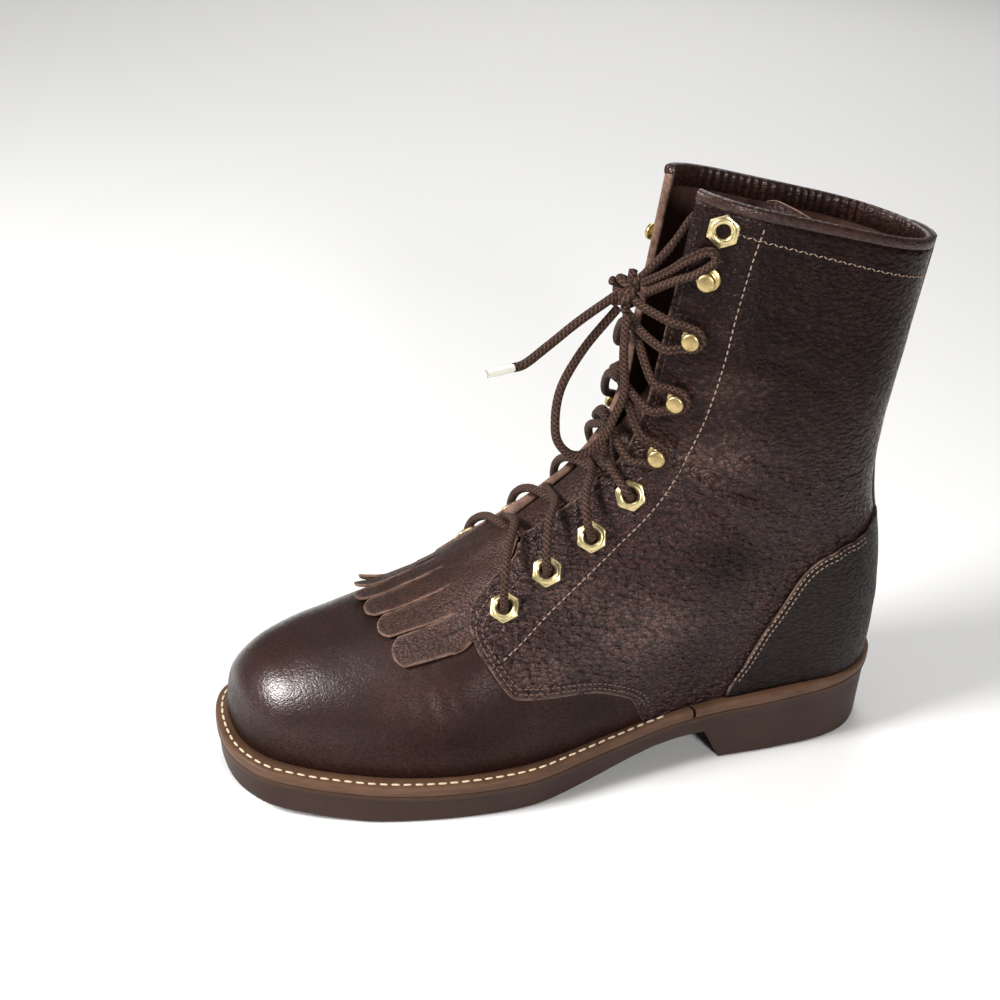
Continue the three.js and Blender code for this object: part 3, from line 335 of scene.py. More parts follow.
def grid_normals(points: np.ndarray) -> np.ndarray:
    """Unit normals of a grid (n, m, 3), facing away from the boot's core.

    They are the cross product of the grid's two directions; a vertex without one takes its
    row's mean.
    """
    normal = np.cross(np.gradient(points, axis=0), np.gradient(points, axis=1))
    size = np.linalg.norm(normal, axis=-1, keepdims=True)
    mean = unit(normal.sum(1, keepdims=True))
    normal = np.where(size > 1e-7, normal / np.maximum(size, 1e-9), mean)
    core = np.array([-0.45 * LENGTH, 0, 0.3 * HEIGHT])
    return normal * (1.0 if (normal * (points - core)).sum() > 0 else -1.0)


def smooth_line(points: Sequence[Sequence[float]], count: int, closed: bool = False) -> np.ndarray:
    """Points spread evenly along a centripetal Catmull-Rom curve through the given ones."""
    p = np.asarray(points, float)
    p = np.vstack([p[-1], p, p[0], p[1]]) if closed else np.vstack([2 * p[0] - p[1], p, 2 * p[-1] - p[-2]])
    knots = np.concatenate([[0], np.cumsum(np.linalg.norm(np.diff(p, axis=0), axis=1) ** 0.5 + 1e-9)])
    fine = []
    for i in range(1, len(p) - 2):
        t = np.linspace(knots[i], knots[i + 1], 24, endpoint=False)[:, None]
        k0, k1, k2, k3 = knots[i - 1:i + 3]
        a1 = (k1 - t) / (k1 - k0) * p[i - 1] + (t - k0) / (k1 - k0) * p[i]
        a2 = (k2 - t) / (k2 - k1) * p[i] + (t - k1) / (k2 - k1) * p[i + 1]
        a3 = (k3 - t) / (k3 - k2) * p[i + 1] + (t - k2) / (k3 - k2) * p[i + 2]
        b1 = (k2 - t) / (k2 - k0) * a1 + (t - k0) / (k2 - k0) * a2
        b2 = (k3 - t) / (k3 - k1) * a2 + (t - k1) / (k3 - k1) * a3
        fine.append((k2 - t) / (k2 - k1) * b1 + (t - k1) / (k2 - k1) * b2)
    line = np.vstack(fine + [p[-2][None]])
    return spread(line, count, closed)


def run_length(line: np.ndarray) -> np.ndarray:
    """Distance run along a line up to each of its points."""
    return np.concatenate([[0], np.cumsum(np.linalg.norm(np.diff(line, axis=0), axis=1))])


def spread(line: np.ndarray, count: int, closed: bool = False) -> np.ndarray:
    """The same line with its points evenly spaced."""
    run = run_length(line)
    goal = np.linspace(0, run[-1], count, endpoint=not closed)
    return np.column_stack([np.interp(goal, run, line[:, k]) for k in range(line.shape[1])])


def line_length(line: np.ndarray) -> float:
    """Length of a line of points."""
    return float(np.linalg.norm(np.diff(line, axis=0), axis=1).sum())


def metres(points: np.ndarray) -> np.ndarray:
    """Working millimetres to metres of the shared frame."""
    return (np.asarray(points, float) + [HEEL_CENTRE, 0, 0]) / 1000


# Meshes.


def facing(normal: np.ndarray, side: int) -> np.ndarray:
    """Normals turned so that they point out of their side of the boot."""
    return np.where(normal[:, 1:2] * side < 0, -normal, normal)


def faces_inwards(points: np.ndarray, quads: np.ndarray, centre: np.ndarray) -> bool:
    """Whether quads face a centre, taken over all of them."""
    a, b, c = (points[quads[:, k]] for k in range(3))
    return bool((np.cross(b - a, c - a) * (a - centre)).sum() < 0)


def make_object(name: str, points: np.ndarray, faces: list, materials: Sequence[bpy.types.Material],
                slots: Optional[np.ndarray] = None,
                coords: Optional[np.ndarray] = None) -> bpy.types.Object:
    """Makes a mesh object from working millimetres.

    Args:
        name: Object name; the word dressed is added where a CAD node has it.
        points: Vertices (n, 3).
        faces: Vertex index tuples.
        materials: Materials in slot order.
        slots: Material index of each face.
        coords: A vector for each vertex, kept as the attribute "run".
    Returns:
        The linked object.
    """
    if name in bpy.data.objects:
        name += "_dressed"
    mesh = bpy.data.meshes.new(name)
    mesh.from_pydata(metres(points).tolist(), [], faces)
    for material in materials:
        mesh.materials.append(material)
    if slots is not None:
        mesh.polygons.foreach_set("material_index", np.asarray(slots, np.int32))
    mesh.polygons.foreach_set("use_smooth", np.full(len(mesh.polygons), True))
    if coords is not None:
        layer = mesh.attributes.new("run", "FLOAT_VECTOR", "POINT")
        layer.data.foreach_set("vector", np.asarray(coords, np.float32).ravel())
    mesh.update()
    made = bpy.data.objects.new(name, mesh)
    bpy.context.scene.collection.objects.link(made)
    return made


def finish_piece(made: bpy.types.Object, nodes: Sequence[str] = ()) -> bpy.types.Object:
    """Puts a piece on the boot's body, hides the CAD nodes that it stands for and logs its face count."""
    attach(made, "root")
    if nodes:
        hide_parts(*nodes)
    LOG.info("%s: %d faces", made.name, len(made.data.polygons))
    return made


def grid_quads(rows: int, columns: int, looped: bool = False) -> np.ndarray:
    """Quads of a grid; a looped grid joins its last column to its first."""
    index = np.arange(rows * columns).reshape(rows, columns)
    if looped:
        index = np.column_stack([index, index[:, 0]])
    return np.stack([index[:-1, :-1], index[1:, :-1], index[1:, 1:], index[:-1, 1:]], -1).reshape(-1, 4)


def tidy_faces(quads: np.ndarray) -> list:
    """Quads as tuples, with repeated corners dropped."""
    out = []
    for quad in quads.tolist():
        kept = [v for k, v in enumerate(quad) if v != quad[k - 1]]
        if len(set(kept)) == len(kept) and len(kept) > 2:
            out.append(tuple(kept))
    return out


def slab(name: str, top: np.ndarray, bottom: np.ndarray, materials: Sequence[bpy.types.Material],
         keep: Optional[np.ndarray] = None, bulge: float = 0.3,
         plain: Optional[np.ndarray] = None, worn: Optional[np.ndarray] = None) -> bpy.types.Object:
    """Sheet of leather between two grids, walled round its rim with a rounded cut edge.

    The wall runs from the top rim over two rings pushed outwards by the bulge to the bottom
    rim, so that a thin sheet shows a soft edge. Materials are face, cut edge, back and the
    other cut edge where there is one.

    Args:
        name: Object name.
        top: Grid of the face side (n, m, 3), or a list of grids that are welded.
        bottom: Grid of the back side, the same shape.
        materials: Face, cut edge, back and other edge material.
        keep: Which quads to keep (n - 1, m - 1).
        bulge: How far the cut edge stands out.
        plain: Grid points whose cut edge takes the fourth material instead of the second.
        worn: How far the wear along the rim shows at each grid point, 1 everywhere if left out.
    Returns:
        The linked object.
    """
    tops = top if isinstance(top, list) else [top]
    bottoms = bottom if isinstance(bottom, list) else [bottom]
    quads, start = [], 0
    for grid in tops:
        quads.append(grid_quads(*grid.shape[:2]) + start)
        start += grid.shape[0] * grid.shape[1]
    quads = np.vstack(quads)
    if keep is not None:
        quads = quads[keep.ravel()]
    upper = np.vstack([g.reshape(-1, 3) for g in tops])
    lower = np.vstack([g.reshape(-1, 3) for g in bottoms])
    _, first, inverse = np.unique(np.round(upper / 0.004).astype(np.int64), axis=0,
                                  return_index=True, return_inverse=True)
    quads = inverse.ravel()[quads]
    used, quads = np.unique(quads, return_inverse=True)
    quads = quads.reshape(-1, 4)
    upper, lower = upper[first[used]], lower[first[used]]
    other = np.zeros(len(upper), bool) if plain is None else plain.ravel()[first[used]]
    a, b, c, d = (upper[quads[:, k]] for k in range(4))
    normal = np.cross(c - a, d - b)
    if float((normal * (upper - lower)[quads[:, 0]]).sum()) < 0:
        quads, normal = quads[:, ::-1], -normal
    count = len(upper)
    around = np.zeros((count, 3))
    for k in range(4):
        np.add.at(around, quads[:, k], normal)
    around = unit(around)
    edges = np.vstack([quads[:, [k, (k + 1) % 4]] for k in range(4)])
    edges = edges[edges[:, 0] != edges[:, 1]]
    ids = edges[:, 0].astype(np.int64) * count + edges[:, 1]
    back = edges[:, 1].astype(np.int64) * count + edges[:, 0]
    rim = edges[~np.isin(ids, back)]
    out = np.zeros((count, 3))
    side = unit(np.cross(upper[rim[:, 1]] - upper[rim[:, 0]], around[rim[:, 0]]))
    np.add.at(out, rim[:, 0], side)
    np.add.at(out, rim[:, 1], side)
    out = unit(out)
    edge_vertices = np.unique(rim)
    place = np.zeros(count, int)
    place[edge_vertices] = np.arange(len(edge_vertices))
    high, low = upper[edge_vertices], lower[edge_vertices]
    ring_one = high + (low - high) * 0.25 + out[edge_vertices] * bulge
    ring_two = high + (low - high) * 0.75 + out[edge_vertices] * bulge
    points = np.vstack([upper, lower, ring_one, ring_two])
    one, two = 2 * count, 2 * count + len(edge_vertices)
    u, v = rim[:, 0], rim[:, 1]
    walls = np.vstack([
        np.column_stack([v, u, place[u] + one, place[v] + one]),
        np.column_stack([place[v] + one, place[u] + one, place[u] + two, place[v] + two]),
        np.column_stack([place[v] + two, place[u] + two, u + count, v + count]),
    ])
    top_faces = tidy_faces(quads)
    wall_slots = np.tile(np.where(other[u] & other[v], 3, 1), 3)
    low_faces = [tuple(x + count for x in face[::-1]) for face in top_faces]
    faces = top_faces + low_faces + [tuple(wall) for wall in walls.tolist()]
    slots = np.concatenate([np.zeros(len(top_faces)), np.full(len(top_faces), 2), wall_slots])
    shown = np.ones(count) if worn is None else worn.ravel()[first[used]]
    frayed = high[shown[edge_vertices] > 0.5]
    tree = KDTree(len(frayed))
    for k, corner in enumerate(frayed):
        tree.insert(corner, k)
    tree.balance()
    # Run attribute: painted light and shade from the spot table, then the wear of cut edges.
    painted_light_and_shade = np.zeros((len(points), 3))
    painted_light_and_shade[:, 0] = painted_shading(points)
    painted_light_and_shade[:count, 1] = [math.exp(-((tree.find(spot)[2] / WEAR_REACH) ** 2)) for spot in upper]
    painted_light_and_shade[:count, 1] *= climb(upper[:, 2] - seat(upper[:, 0]), WEAR_FOOT, 3) * shown
    painted_light_and_shade[:count, 1] *= climb(WEAR_TOP - upper[:, 2], 0, 6)
    return make_object(name, points, faces, materials, slots, coords=painted_light_and_shade)


def path_frames(path: np.ndarray) -> tuple[np.ndarray, np.ndarray, np.ndarray]:
    """Tangents and two steady cross directions along a path, carried without twist."""
    tangent = unit(np.gradient(path, axis=0))
    first = np.zeros_like(path)
    guess = np.cross(tangent[0], [0, 0, 1.0])
    first[0] = unit(guess if np.linalg.norm(guess) > 0.1 else np.cross(tangent[0], [0, 1.0, 0]))
    for i in range(1, len(path)):
        first[i] = unit(first[i - 1] - tangent[i] * (first[i - 1] @ tangent[i]))
    return tangent, first, np.cross(tangent, first)


def tube_mesh(paths: Sequence[np.ndarray], radius: float, sides: int = 12,
              squash: float = 1.0) -> tuple[np.ndarray, list, np.ndarray]:
    """Closed round tubes along paths, with run length and angle kept for their weave.

    Args:
        paths: Lines of points, one a tube.
        radius: Tube radius.
        sides: Points round the tube.
        squash: Height of the section as a share of its width.
    Returns:
        Points, faces and a coordinate (length along, turn, 0) for each point.
    """
    points, faces, coords, start = [], [], [], 0
    angle = np.linspace(0, 2 * np.pi, sides, endpoint=False)
    for path in paths:
        tangent, one, two = path_frames(path)
        run = run_length(path)
        across = np.cos(angle)[None, :, None] * one[:, None]
        upwards = squash * np.sin(angle)[None, :, None] * two[:, None]
        ring = path[:, None] + radius * (across + upwards)
        caps = np.vstack([path[0] - tangent[0] * radius * 0.35, path[-1] + tangent[-1] * radius * 0.35])
        points.append(np.vstack([ring.reshape(-1, 3), caps]))
        turn = np.broadcast_to(angle / (2 * np.pi), (len(path), sides))
        coords.append(np.vstack([
            np.stack([np.broadcast_to(run[:, None], turn.shape), turn, 0 * turn], -1).reshape(-1, 3),
            [[0, 0, 0], [run[-1], 0, 0]],
        ]))
        quads = grid_quads(len(path), sides, True)[:, ::-1] + start
        faces += [tuple(q) for q in quads.tolist()]
        last = start + (len(path) - 1) * sides
        tip = start + len(path) * sides
        for k in range(sides):
            n = (k + 1) % sides
            faces.append((start + k, start + n, tip))
            faces.append((last + n, last + k, tip + 1))
        start += len(path) * sides + 2
    return np.vstack(points), faces, np.vstack(coords)


def tube_object(name: str, paths: Sequence[np.ndarray], radius: float, material: bpy.types.Material,
                sides: int = 12, squash: float = 1.0) -> bpy.types.Object:
    """Joined round tubes as one object."""
    points, faces, coords = tube_mesh(paths, radius, sides, squash)
    return make_object(name, points, faces, [material], coords=coords)


def lathe_points(profile: Sequence[Sequence[float]], sides: int) -> tuple[np.ndarray, list]:
    """Turned form about +z from (radius, height) pairs that start and end on the axis."""
    p = np.asarray(profile, float)
    angle = np.linspace(0, 2 * np.pi, sides, endpoint=False)
    heights = np.broadcast_to(p[:, None, 1], (len(p), sides))
    radii = p[:, None, 0]
    rings = np.stack([radii * np.cos(angle), radii * np.sin(angle), heights], -1).reshape(-1, 3)
    index = np.where(p[:, None, 0] < 1e-6, (np.arange(len(p)) * sides)[:, None],
                     np.arange(len(p) * sides).reshape(len(p), sides))
    index = np.column_stack([index, index[:, 0]])
    quads = np.stack([index[:-1, :-1], index[:-1, 1:], index[1:, 1:], index[1:, :-1]], -1).reshape(-1, 4)
    return rings, tidy_faces(quads)


def repeat(points: np.ndarray, faces: list, frames: Sequence[np.ndarray]) -> tuple[np.ndarray, list]:
    """Copies of a small form in frames given as 4 by 4 matrices, joined as one mesh."""
    homogeneous = np.column_stack([points, np.ones(len(points))])
    placed = np.vstack([(homogeneous @ m.T)[:, :3] for m in frames])
    joined = [tuple(v + k * len(points) for v in f) for k in range(len(frames)) for f in faces]
    return placed, joined


def stitch_form(length: float, width: float, height: float) -> tuple[np.ndarray, list]:
    """One stitch: a thread that rises from the leather, runs along x and dips again."""
    rings, sides = 7, 6
    t = np.linspace(0, np.pi, rings)
    angle = np.linspace(0, 2 * np.pi, sides, endpoint=False)
    swell = np.sin(t) ** 0.45
    x = -np.cos(t) * length / 2
    y = swell[:, None] * np.cos(angle) * width / 2
    z = swell[:, None] * np.sin(angle) * height / 2 + height * 0.12
    points = np.stack([np.broadcast_to(x[:, None], y.shape), y, z], -1).reshape(-1, 3)
    return points, [tuple(q) for q in grid_quads(rings, sides, True)[:, ::-1].tolist()]


def stitch_row(line: np.ndarray, normal: np.ndarray, pitch: float, fill: float, width: float,
               lean: float = 0.0) -> list:
    """Frames of stitches along a line.

    Args:
        line: Points on the leather.
        normal: Outward normals there.
        pitch: Length from stitch to stitch.
        fill: Share of the pitch that the thread covers.
        width: Thread width; only its share of the frame's size.
        lean: Turn of every other stitch about the normal, in degrees.
    Returns:
        4 by 4 matrices for a stitch of unit length.
    """
    count = max(2, int(line_length(line) / pitch))
    both = spread(np.column_stack([line, normal]), 2 * count + 1)
    middle, way = both[1::2, :3], unit(np.gradient(both[:, :3], axis=0))[1::2]
    out = unit(both[1::2, 3:])
    rng = np.random.default_rng(len(line))
    frames = []
    for k, (p, t, n) in enumerate(zip(middle, way, out)):
        turn = math.radians(lean * (1 if k % 2 else -1) + rng.normal(0, 2.5))
        across = unit(np.cross(n, t))
        t2 = t * math.cos(turn) + across * math.sin(turn)
        m = np.eye(4)
        m[:3, 0] = t2 * pitch * fill * rng.uniform(0.93, 1.05)
        m[:3, 1] = unit(np.cross(n, t2)) * width
        m[:3, 2] = n * width
        m[:3, 3] = p
        frames.append(m)
    return frames


# Relief of the leather.


@dataclass(frozen=True)
class Crease:
    """Soft trough with raised banks along a line on one side of the boot.

    Points are (row, share) places on the surface; width and depth are in millimetres.
    """

    side: int
    points: tuple
    width: float = 3.0
    depth: float = 0.8

    def line(self) -> np.ndarray:
        """Dense line of the crease on the surface."""
        flat = smooth_line(np.column_stack([np.asarray(self.points, float), np.zeros(len(self.points))]), 30)
        return skin(flat[:, 0], self.side, np.clip(flat[:, 1], 0, 1))

    def height(self, points: np.ndarray) -> np.ndarray:
        """Relief at points: a trough with banks, faded towards both ends of the line."""
        line = self.line()
        flat = points.reshape(-1, 3)
        low, high = line.min(0) - 4 * self.width, line.max(0) + 4 * self.width
        near = np.nonzero(((flat > low) & (flat < high)).all(1))[0]
        out = np.zeros(len(flat))
        if len(near):
            away = flat[near, None] - line[None]
            distance = np.sqrt((away**2).sum(-1))
            best = distance.argmin(1)
            d = distance[np.arange(len(near)), best] / self.width
            fade = np.sin(np.pi * np.clip((best + 0.5) / len(line), 0, 1)) ** 0.6
            out[near] = -self.depth * fade * (1 - 1.1 * d**2) * np.exp(-1.1 * d**2)
        return out.reshape(points.shape[:-1])


CREASES = (
    # Folds over the ankle, from the throat back and down.
    Crease(OUTER, ((13.3, 0.06), (13.9, 0.22), (14.6, 0.40), (15.0, 0.58)), 5.0, 1.7),
    Crease(OUTER, ((12.5, 0.10), (13.2, 0.28), (13.9, 0.48)), 4.0, 0.7),
    Crease(OUTER, ((14.3, 0.20), (15.2, 0.36), (15.6, 0.56), (15.6, 0.72)), 4.5, 0.8),
    Crease(OUTER, ((15.4, 0.66), (14.9, 0.80), (14.7, 0.93)), 4.5, 1.0),
    Crease(OUTER, ((16.2, 0.70), (15.9, 0.84), (15.8, 0.96)), 4.0, 0.6),
    Crease(OUTER, ((17.0, 0.28), (17.5, 0.44), (17.5, 0.62), (17.2, 0.78)), 5.0, 0.5),
    Crease(OUTER, ((18.4, 0.30), (18.2, 0.50), (18.3, 0.70)), 6.0, 0.4),
    Crease(OUTER, ((11.0, 0.38), (11.7, 0.50), (12.1, 0.64)), 6.0, 0.6),
    Crease(OUTER, ((9.2, 0.34), (9.9, 0.44), (10.6, 0.60)), 7.0, 0.5),
    # The flex of the vamp beside the fringe.
    Crease(OUTER, ((5.30, 0.10), (5.42, 0.22), (5.55, 0.38), (5.75, 0.56)), 4.0, 0.28),
    Crease(OUTER, ((5.05, 0.16), (5.12, 0.30), (5.25, 0.46)), 3.4, 0.16),
    Crease(OUTER, ((5.70, 0.30), (5.95, 0.44), (6.25, 0.60)), 3.8, 0.2),
    Crease(INNER, ((5.30, 0.10), (5.45, 0.26), (5.65, 0.48)), 3.6, 0.55),
    Crease(INNER, ((5.80, 0.20), (6.05, 0.36), (6.35, 0.56)), 3.4, 0.4),
    # Inner side of the ankle.
    Crease(INNER, ((13.3, 0.08), (14.0, 0.26), (14.7, 0.46), (15.0, 0.62)), 5.0, 1.2),
    Crease(INNER, ((12.4, 0.12), (13.1, 0.30), (13.8, 0.52)), 4.5, 0.7),
    Crease(INNER, ((15.4, 0.60), (15.0, 0.78), (14.8, 0.92)), 4.5, 0.9),
    Crease(INNER, ((17.2, 0.30), (17.5, 0.50), (17.3, 0.74)), 5.5, 0.5),
)


PAINTED_SHADING_SPOTS = (
    # Painted light and shade: x, z, half width, half height and amount: above 0 darker and duller (painted
    # shade), below 0 lighter and glossier (painted light)
    (-94, 103, 24, 16, 0.85), (-105, 55, 14, 14, 0.35), (-75, 238, 46, 34, 0.75), (-30, 165, 16, 70, 0.6),
    (-131, 76, 25, 13, -0.75), (-176, 63, 13, 10, -0.5), (-165, 94, 20, 8, -0.3), (-103, 150, 22, 11, -0.5),
    (-99, 182, 20, 9, -0.3), (-70, 206, 18, 8, -0.2), (-230, 56, 16, 10, -0.5), (-215, 36, 30, 8, 0.4),
    (-296, 30, 12, 10, 0.5), (-258, 62, 12, 9, 0.35), (-150, 40, 16, 6, 0.3),
)


def painted_shading(points: np.ndarray) -> np.ndarray:
    """Painted light and shade on the leather: the sum of the soft ellipses of the spot table above in the
    side view.
    """
    x, z = points[..., 0], points[..., 2]
    return sum(amount * np.exp(-(((x - at) / wide) ** 2) - ((z - up) / high) ** 2)
               for at, up, wide, high, amount in PAINTED_SHADING_SPOTS)


def front_lift(x: np.ndarray) -> np.ndarray:
    """How far the quarters' thick front edge stands up, a soft bump round the front of the throat."""
    return 1.6 * np.exp(-(((x + 0.66 * LENGTH) / 26) ** 2))


def relief(points: np.ndarray, side: int) -> np.ndarray:
    """Creases of one side plus a slow unevenness of worn leather, in millimetres."""
    creases = (crease.height(points) for crease in CREASES if crease.side == side)
    total = sum(creases, np.zeros(points.shape[:-1]))
    x, y, z = points[..., 0], points[..., 1], points[..., 2]
    slow = (np.sin(x / 9.1 + z / 13.7 + 1.3 * np.sin(y / 17)) + np.sin(z / 7.7 - x / 15.3 + 0.7)
            + 0.7 * np.sin((x + z) / 4.3 + 2 * np.sin(z / 11)))
    ankle = np.exp(-((z - 128) / 38) ** 2) * (x > -165)
    return total + slow * (0.07 + 0.10 * ankle)


# Finishes.


def rgb(red: float, green: float, blue: float) -> tuple:
    """Linear colour from 8-bit screen values."""
    return tuple((c / 255 / 12.92 if c <= 10.3 else ((c / 255 + 0.055) / 1.055) ** 2.4)
                 for c in (red, green, blue)) + (1.0,)


class Graph:
    """Thin helper that builds a node tree."""

    def __init__(self, tree: bpy.types.NodeTree):
        self.tree = tree

    def node(self, kind: str, inputs: Optional[dict] = None, **settings) -> bpy.types.Node:
        """Adds a node, sets its properties and fills its inputs with values or links."""
        made = self.tree.nodes.new(kind)
        for key, value in settings.items():
            setattr(made, key, value)
        for key, value in (inputs or {}).items():
            self.feed(made.inputs[key], value)
        return made

    def feed(self, socket: bpy.types.NodeSocket, value) -> None:
        """Links a socket or sets its value."""
        if isinstance(value, bpy.types.NodeSocket):
            self.tree.links.new(value, socket)
        else:
            socket.default_value = value

    def math(self, operation: str, *values, clamp: bool = False) -> bpy.types.NodeSocket:
        """Output of a Math node."""
        node = self.node("ShaderNodeMath", dict(enumerate(values)), operation=operation, use_clamp=clamp)
        return node.outputs[0]

    def times(self, one, two) -> bpy.types.NodeSocket:
        """Product of two values."""
        return self.math("MULTIPLY", one, two)

    def plus(self, one, two, clamp: bool = False) -> bpy.types.NodeSocket:
        """Sum of two values."""
        return self.math("ADD", one, two, clamp=clamp)

    def minus(self, one, two) -> bpy.types.NodeSocket:
        """Difference of two values."""
        return self.math("SUBTRACT", one, two)

    def vector(self, operation: str, one, two) -> bpy.types.NodeSocket:
        """Output of a Vector Math node."""
        return self.node("ShaderNodeVectorMath", {0: one, 1: two}, operation=operation).outputs[0]

    def split(self, vector) -> list:
        """The x, y and z of a vector."""
        return list(self.node("ShaderNodeSeparateXYZ", {0: vector}).outputs)

    def mix(self, factor, one, two) -> bpy.types.NodeSocket:
        """Output of a colour Mix node."""
        made = self.node("ShaderNodeMix", data_type="RGBA")
        for key, given in ((0, factor), (6, one), (7, two)):
            self.feed(made.inputs[key], given)
        return made.outputs[2]

    def ramp(self, value, low: float, high: float, to_low: float = 0.0,
             to_high: float = 1.0) -> bpy.types.NodeSocket:
        """Output of a clamped smooth Map Range node."""
        made = self.node("ShaderNodeMapRange", interpolation_type="SMOOTHSTEP")
        for key, given in enumerate((value, low, high, to_low, to_high)):
            self.feed(made.inputs[key], given)
        return made.outputs[0]

    def noise(self, vector, scale: float, detail: float = 3.0, roughness: float = 0.55,
              distortion: float = 0.0, output: int = 0) -> bpy.types.NodeSocket:
        """Value of a Noise node, or its colour as output 1."""
        return self.node("ShaderNodeTexNoise", {
            "Vector": vector, "Scale": scale, "Detail": detail, "Roughness": roughness,
            "Distortion": distortion,
        }).outputs[output]

    def place(self) -> bpy.types.NodeSocket:
        """Object coordinates."""
        return self.node("ShaderNodeTexCoord").outputs["Object"]

    def run(self) -> list:
        """The three parts of the piece's own run attribute."""
        return self.split(self.node("ShaderNodeAttribute", attribute_name="run",
                                    attribute_type="GEOMETRY").outputs["Vector"])

    def group(self, tree: bpy.types.NodeTree, **inputs) -> bpy.types.bpy_prop_collection:
        """Outputs of a shared group."""
        return self.node("ShaderNodeGroup", inputs, node_tree=tree).outputs


def new_material(name: str) -> tuple[bpy.types.Material, Graph, bpy.types.Node]:
    """Material with an empty tree and a Principled shader."""
    material = bpy.data.materials.new(name)
    material.use_nodes = True
    material.node_tree.nodes.clear()
    graph = Graph(material.node_tree)
    shader = graph.node("ShaderNodeBsdfPrincipled")
    graph.node("ShaderNodeOutputMaterial", {0: shader.outputs[0]})
    return material, graph, shader


def new_group(name: str, inputs: dict, outputs: Sequence[str]) -> tuple[Graph, dict, bpy.types.Node]:
    """Starts a shader node group; an input without a value is a vector, all else are floats."""
    tree = bpy.data.node_groups.new(name, "ShaderNodeTree")
    for key, value in inputs.items():
        kind = "NodeSocketVector" if value is None else "NodeSocketFloat"
        socket = tree.interface.new_socket(key, in_out="INPUT", socket_type=kind)
        if value is not None:
            socket.default_value = value
    for key in outputs:
        tree.interface.new_socket(key, in_out="OUTPUT", socket_type="NodeSocketFloat")
    source = tree.nodes.new("NodeGroupInput")
    return Graph(tree), {key: source.outputs[key] for key in inputs}, tree.nodes.new("NodeGroupOutput")


def pebble_group() -> bpy.types.NodeTree:
    """Group: pebbled grain. Height rises over each pebble and falls in the furrows between."""
    inputs = {"Vector": None, "Scale": 620.0, "Wrinkle": 0.0}
    graph, given, out = new_group("pebble", inputs, ("Height", "Furrow"))
    warp = graph.noise(given["Vector"], 210.0, 2.0, 0.5, output=1)
    centred = graph.vector("SUBTRACT", warp, (0.5, 0.5, 0.5))
    shift = graph.vector("MULTIPLY", centred, (0.0022, 0.0022, 0.0022))
    moved = graph.vector("ADD", given["Vector"], shift)
    drawn = graph.vector("MULTIPLY", moved, (0.62, 1.0, 1.2))
    heights = []
    for finer, weight in ((1.0, 0.75), (2.1, 0.3)):
        scale = graph.times(given["Scale"], finer)
        inputs = {"Vector": drawn, "Scale": scale, "Randomness": 0.9}
        cell = graph.node("ShaderNodeTexVoronoi", inputs, feature="F1")
        dome = graph.minus(1.0, graph.times(graph.math("POWER", cell.outputs[0], 2.0), 1.7))
        heights.append(graph.times(dome, weight))
    soft = graph.noise(given["Vector"], 260.0, 4.0, 0.6)
    total = graph.plus(graph.plus(*heights), graph.times(soft, 0.7))
    folds = graph.noise(graph.vector("MULTIPLY", moved, (0.35, 0.8, 1.3)), 150.0, 3.0, 0.55, 0.6)
    graph.feed(out.inputs["Height"], graph.plus(total, graph.times(folds, given["Wrinkle"])))
    graph.feed(out.inputs["Furrow"], graph.ramp(heights[0], 0.26, 0.60, 1.0, 0.0))
    return graph.tree


def mottle_group() -> bpy.types.NodeTree:
    """Group: slow patches, fine fleck and scuffs of worn leather."""
    graph, given, out = new_group("mottle", {"Vector": None}, ("Patch", "Fleck", "Scuff"))
    where = given["Vector"]
    stretched = graph.vector("MULTIPLY", where, (1.0, 1.0, 0.35))
    graph.feed(out.inputs["Patch"], graph.ramp(graph.noise(where, 22.0, 4.0, 0.6, 0.4), 0.36, 0.66))
    graph.feed(out.inputs["Fleck"], graph.ramp(graph.noise(where, 900.0, 2.0, 0.6), 0.62, 0.80))
    graph.feed(out.inputs["Scuff"], graph.ramp(graph.noise(stretched, 160.0, 5.0, 0.7, 0.8), 0.60, 0.78))
    return graph.tree


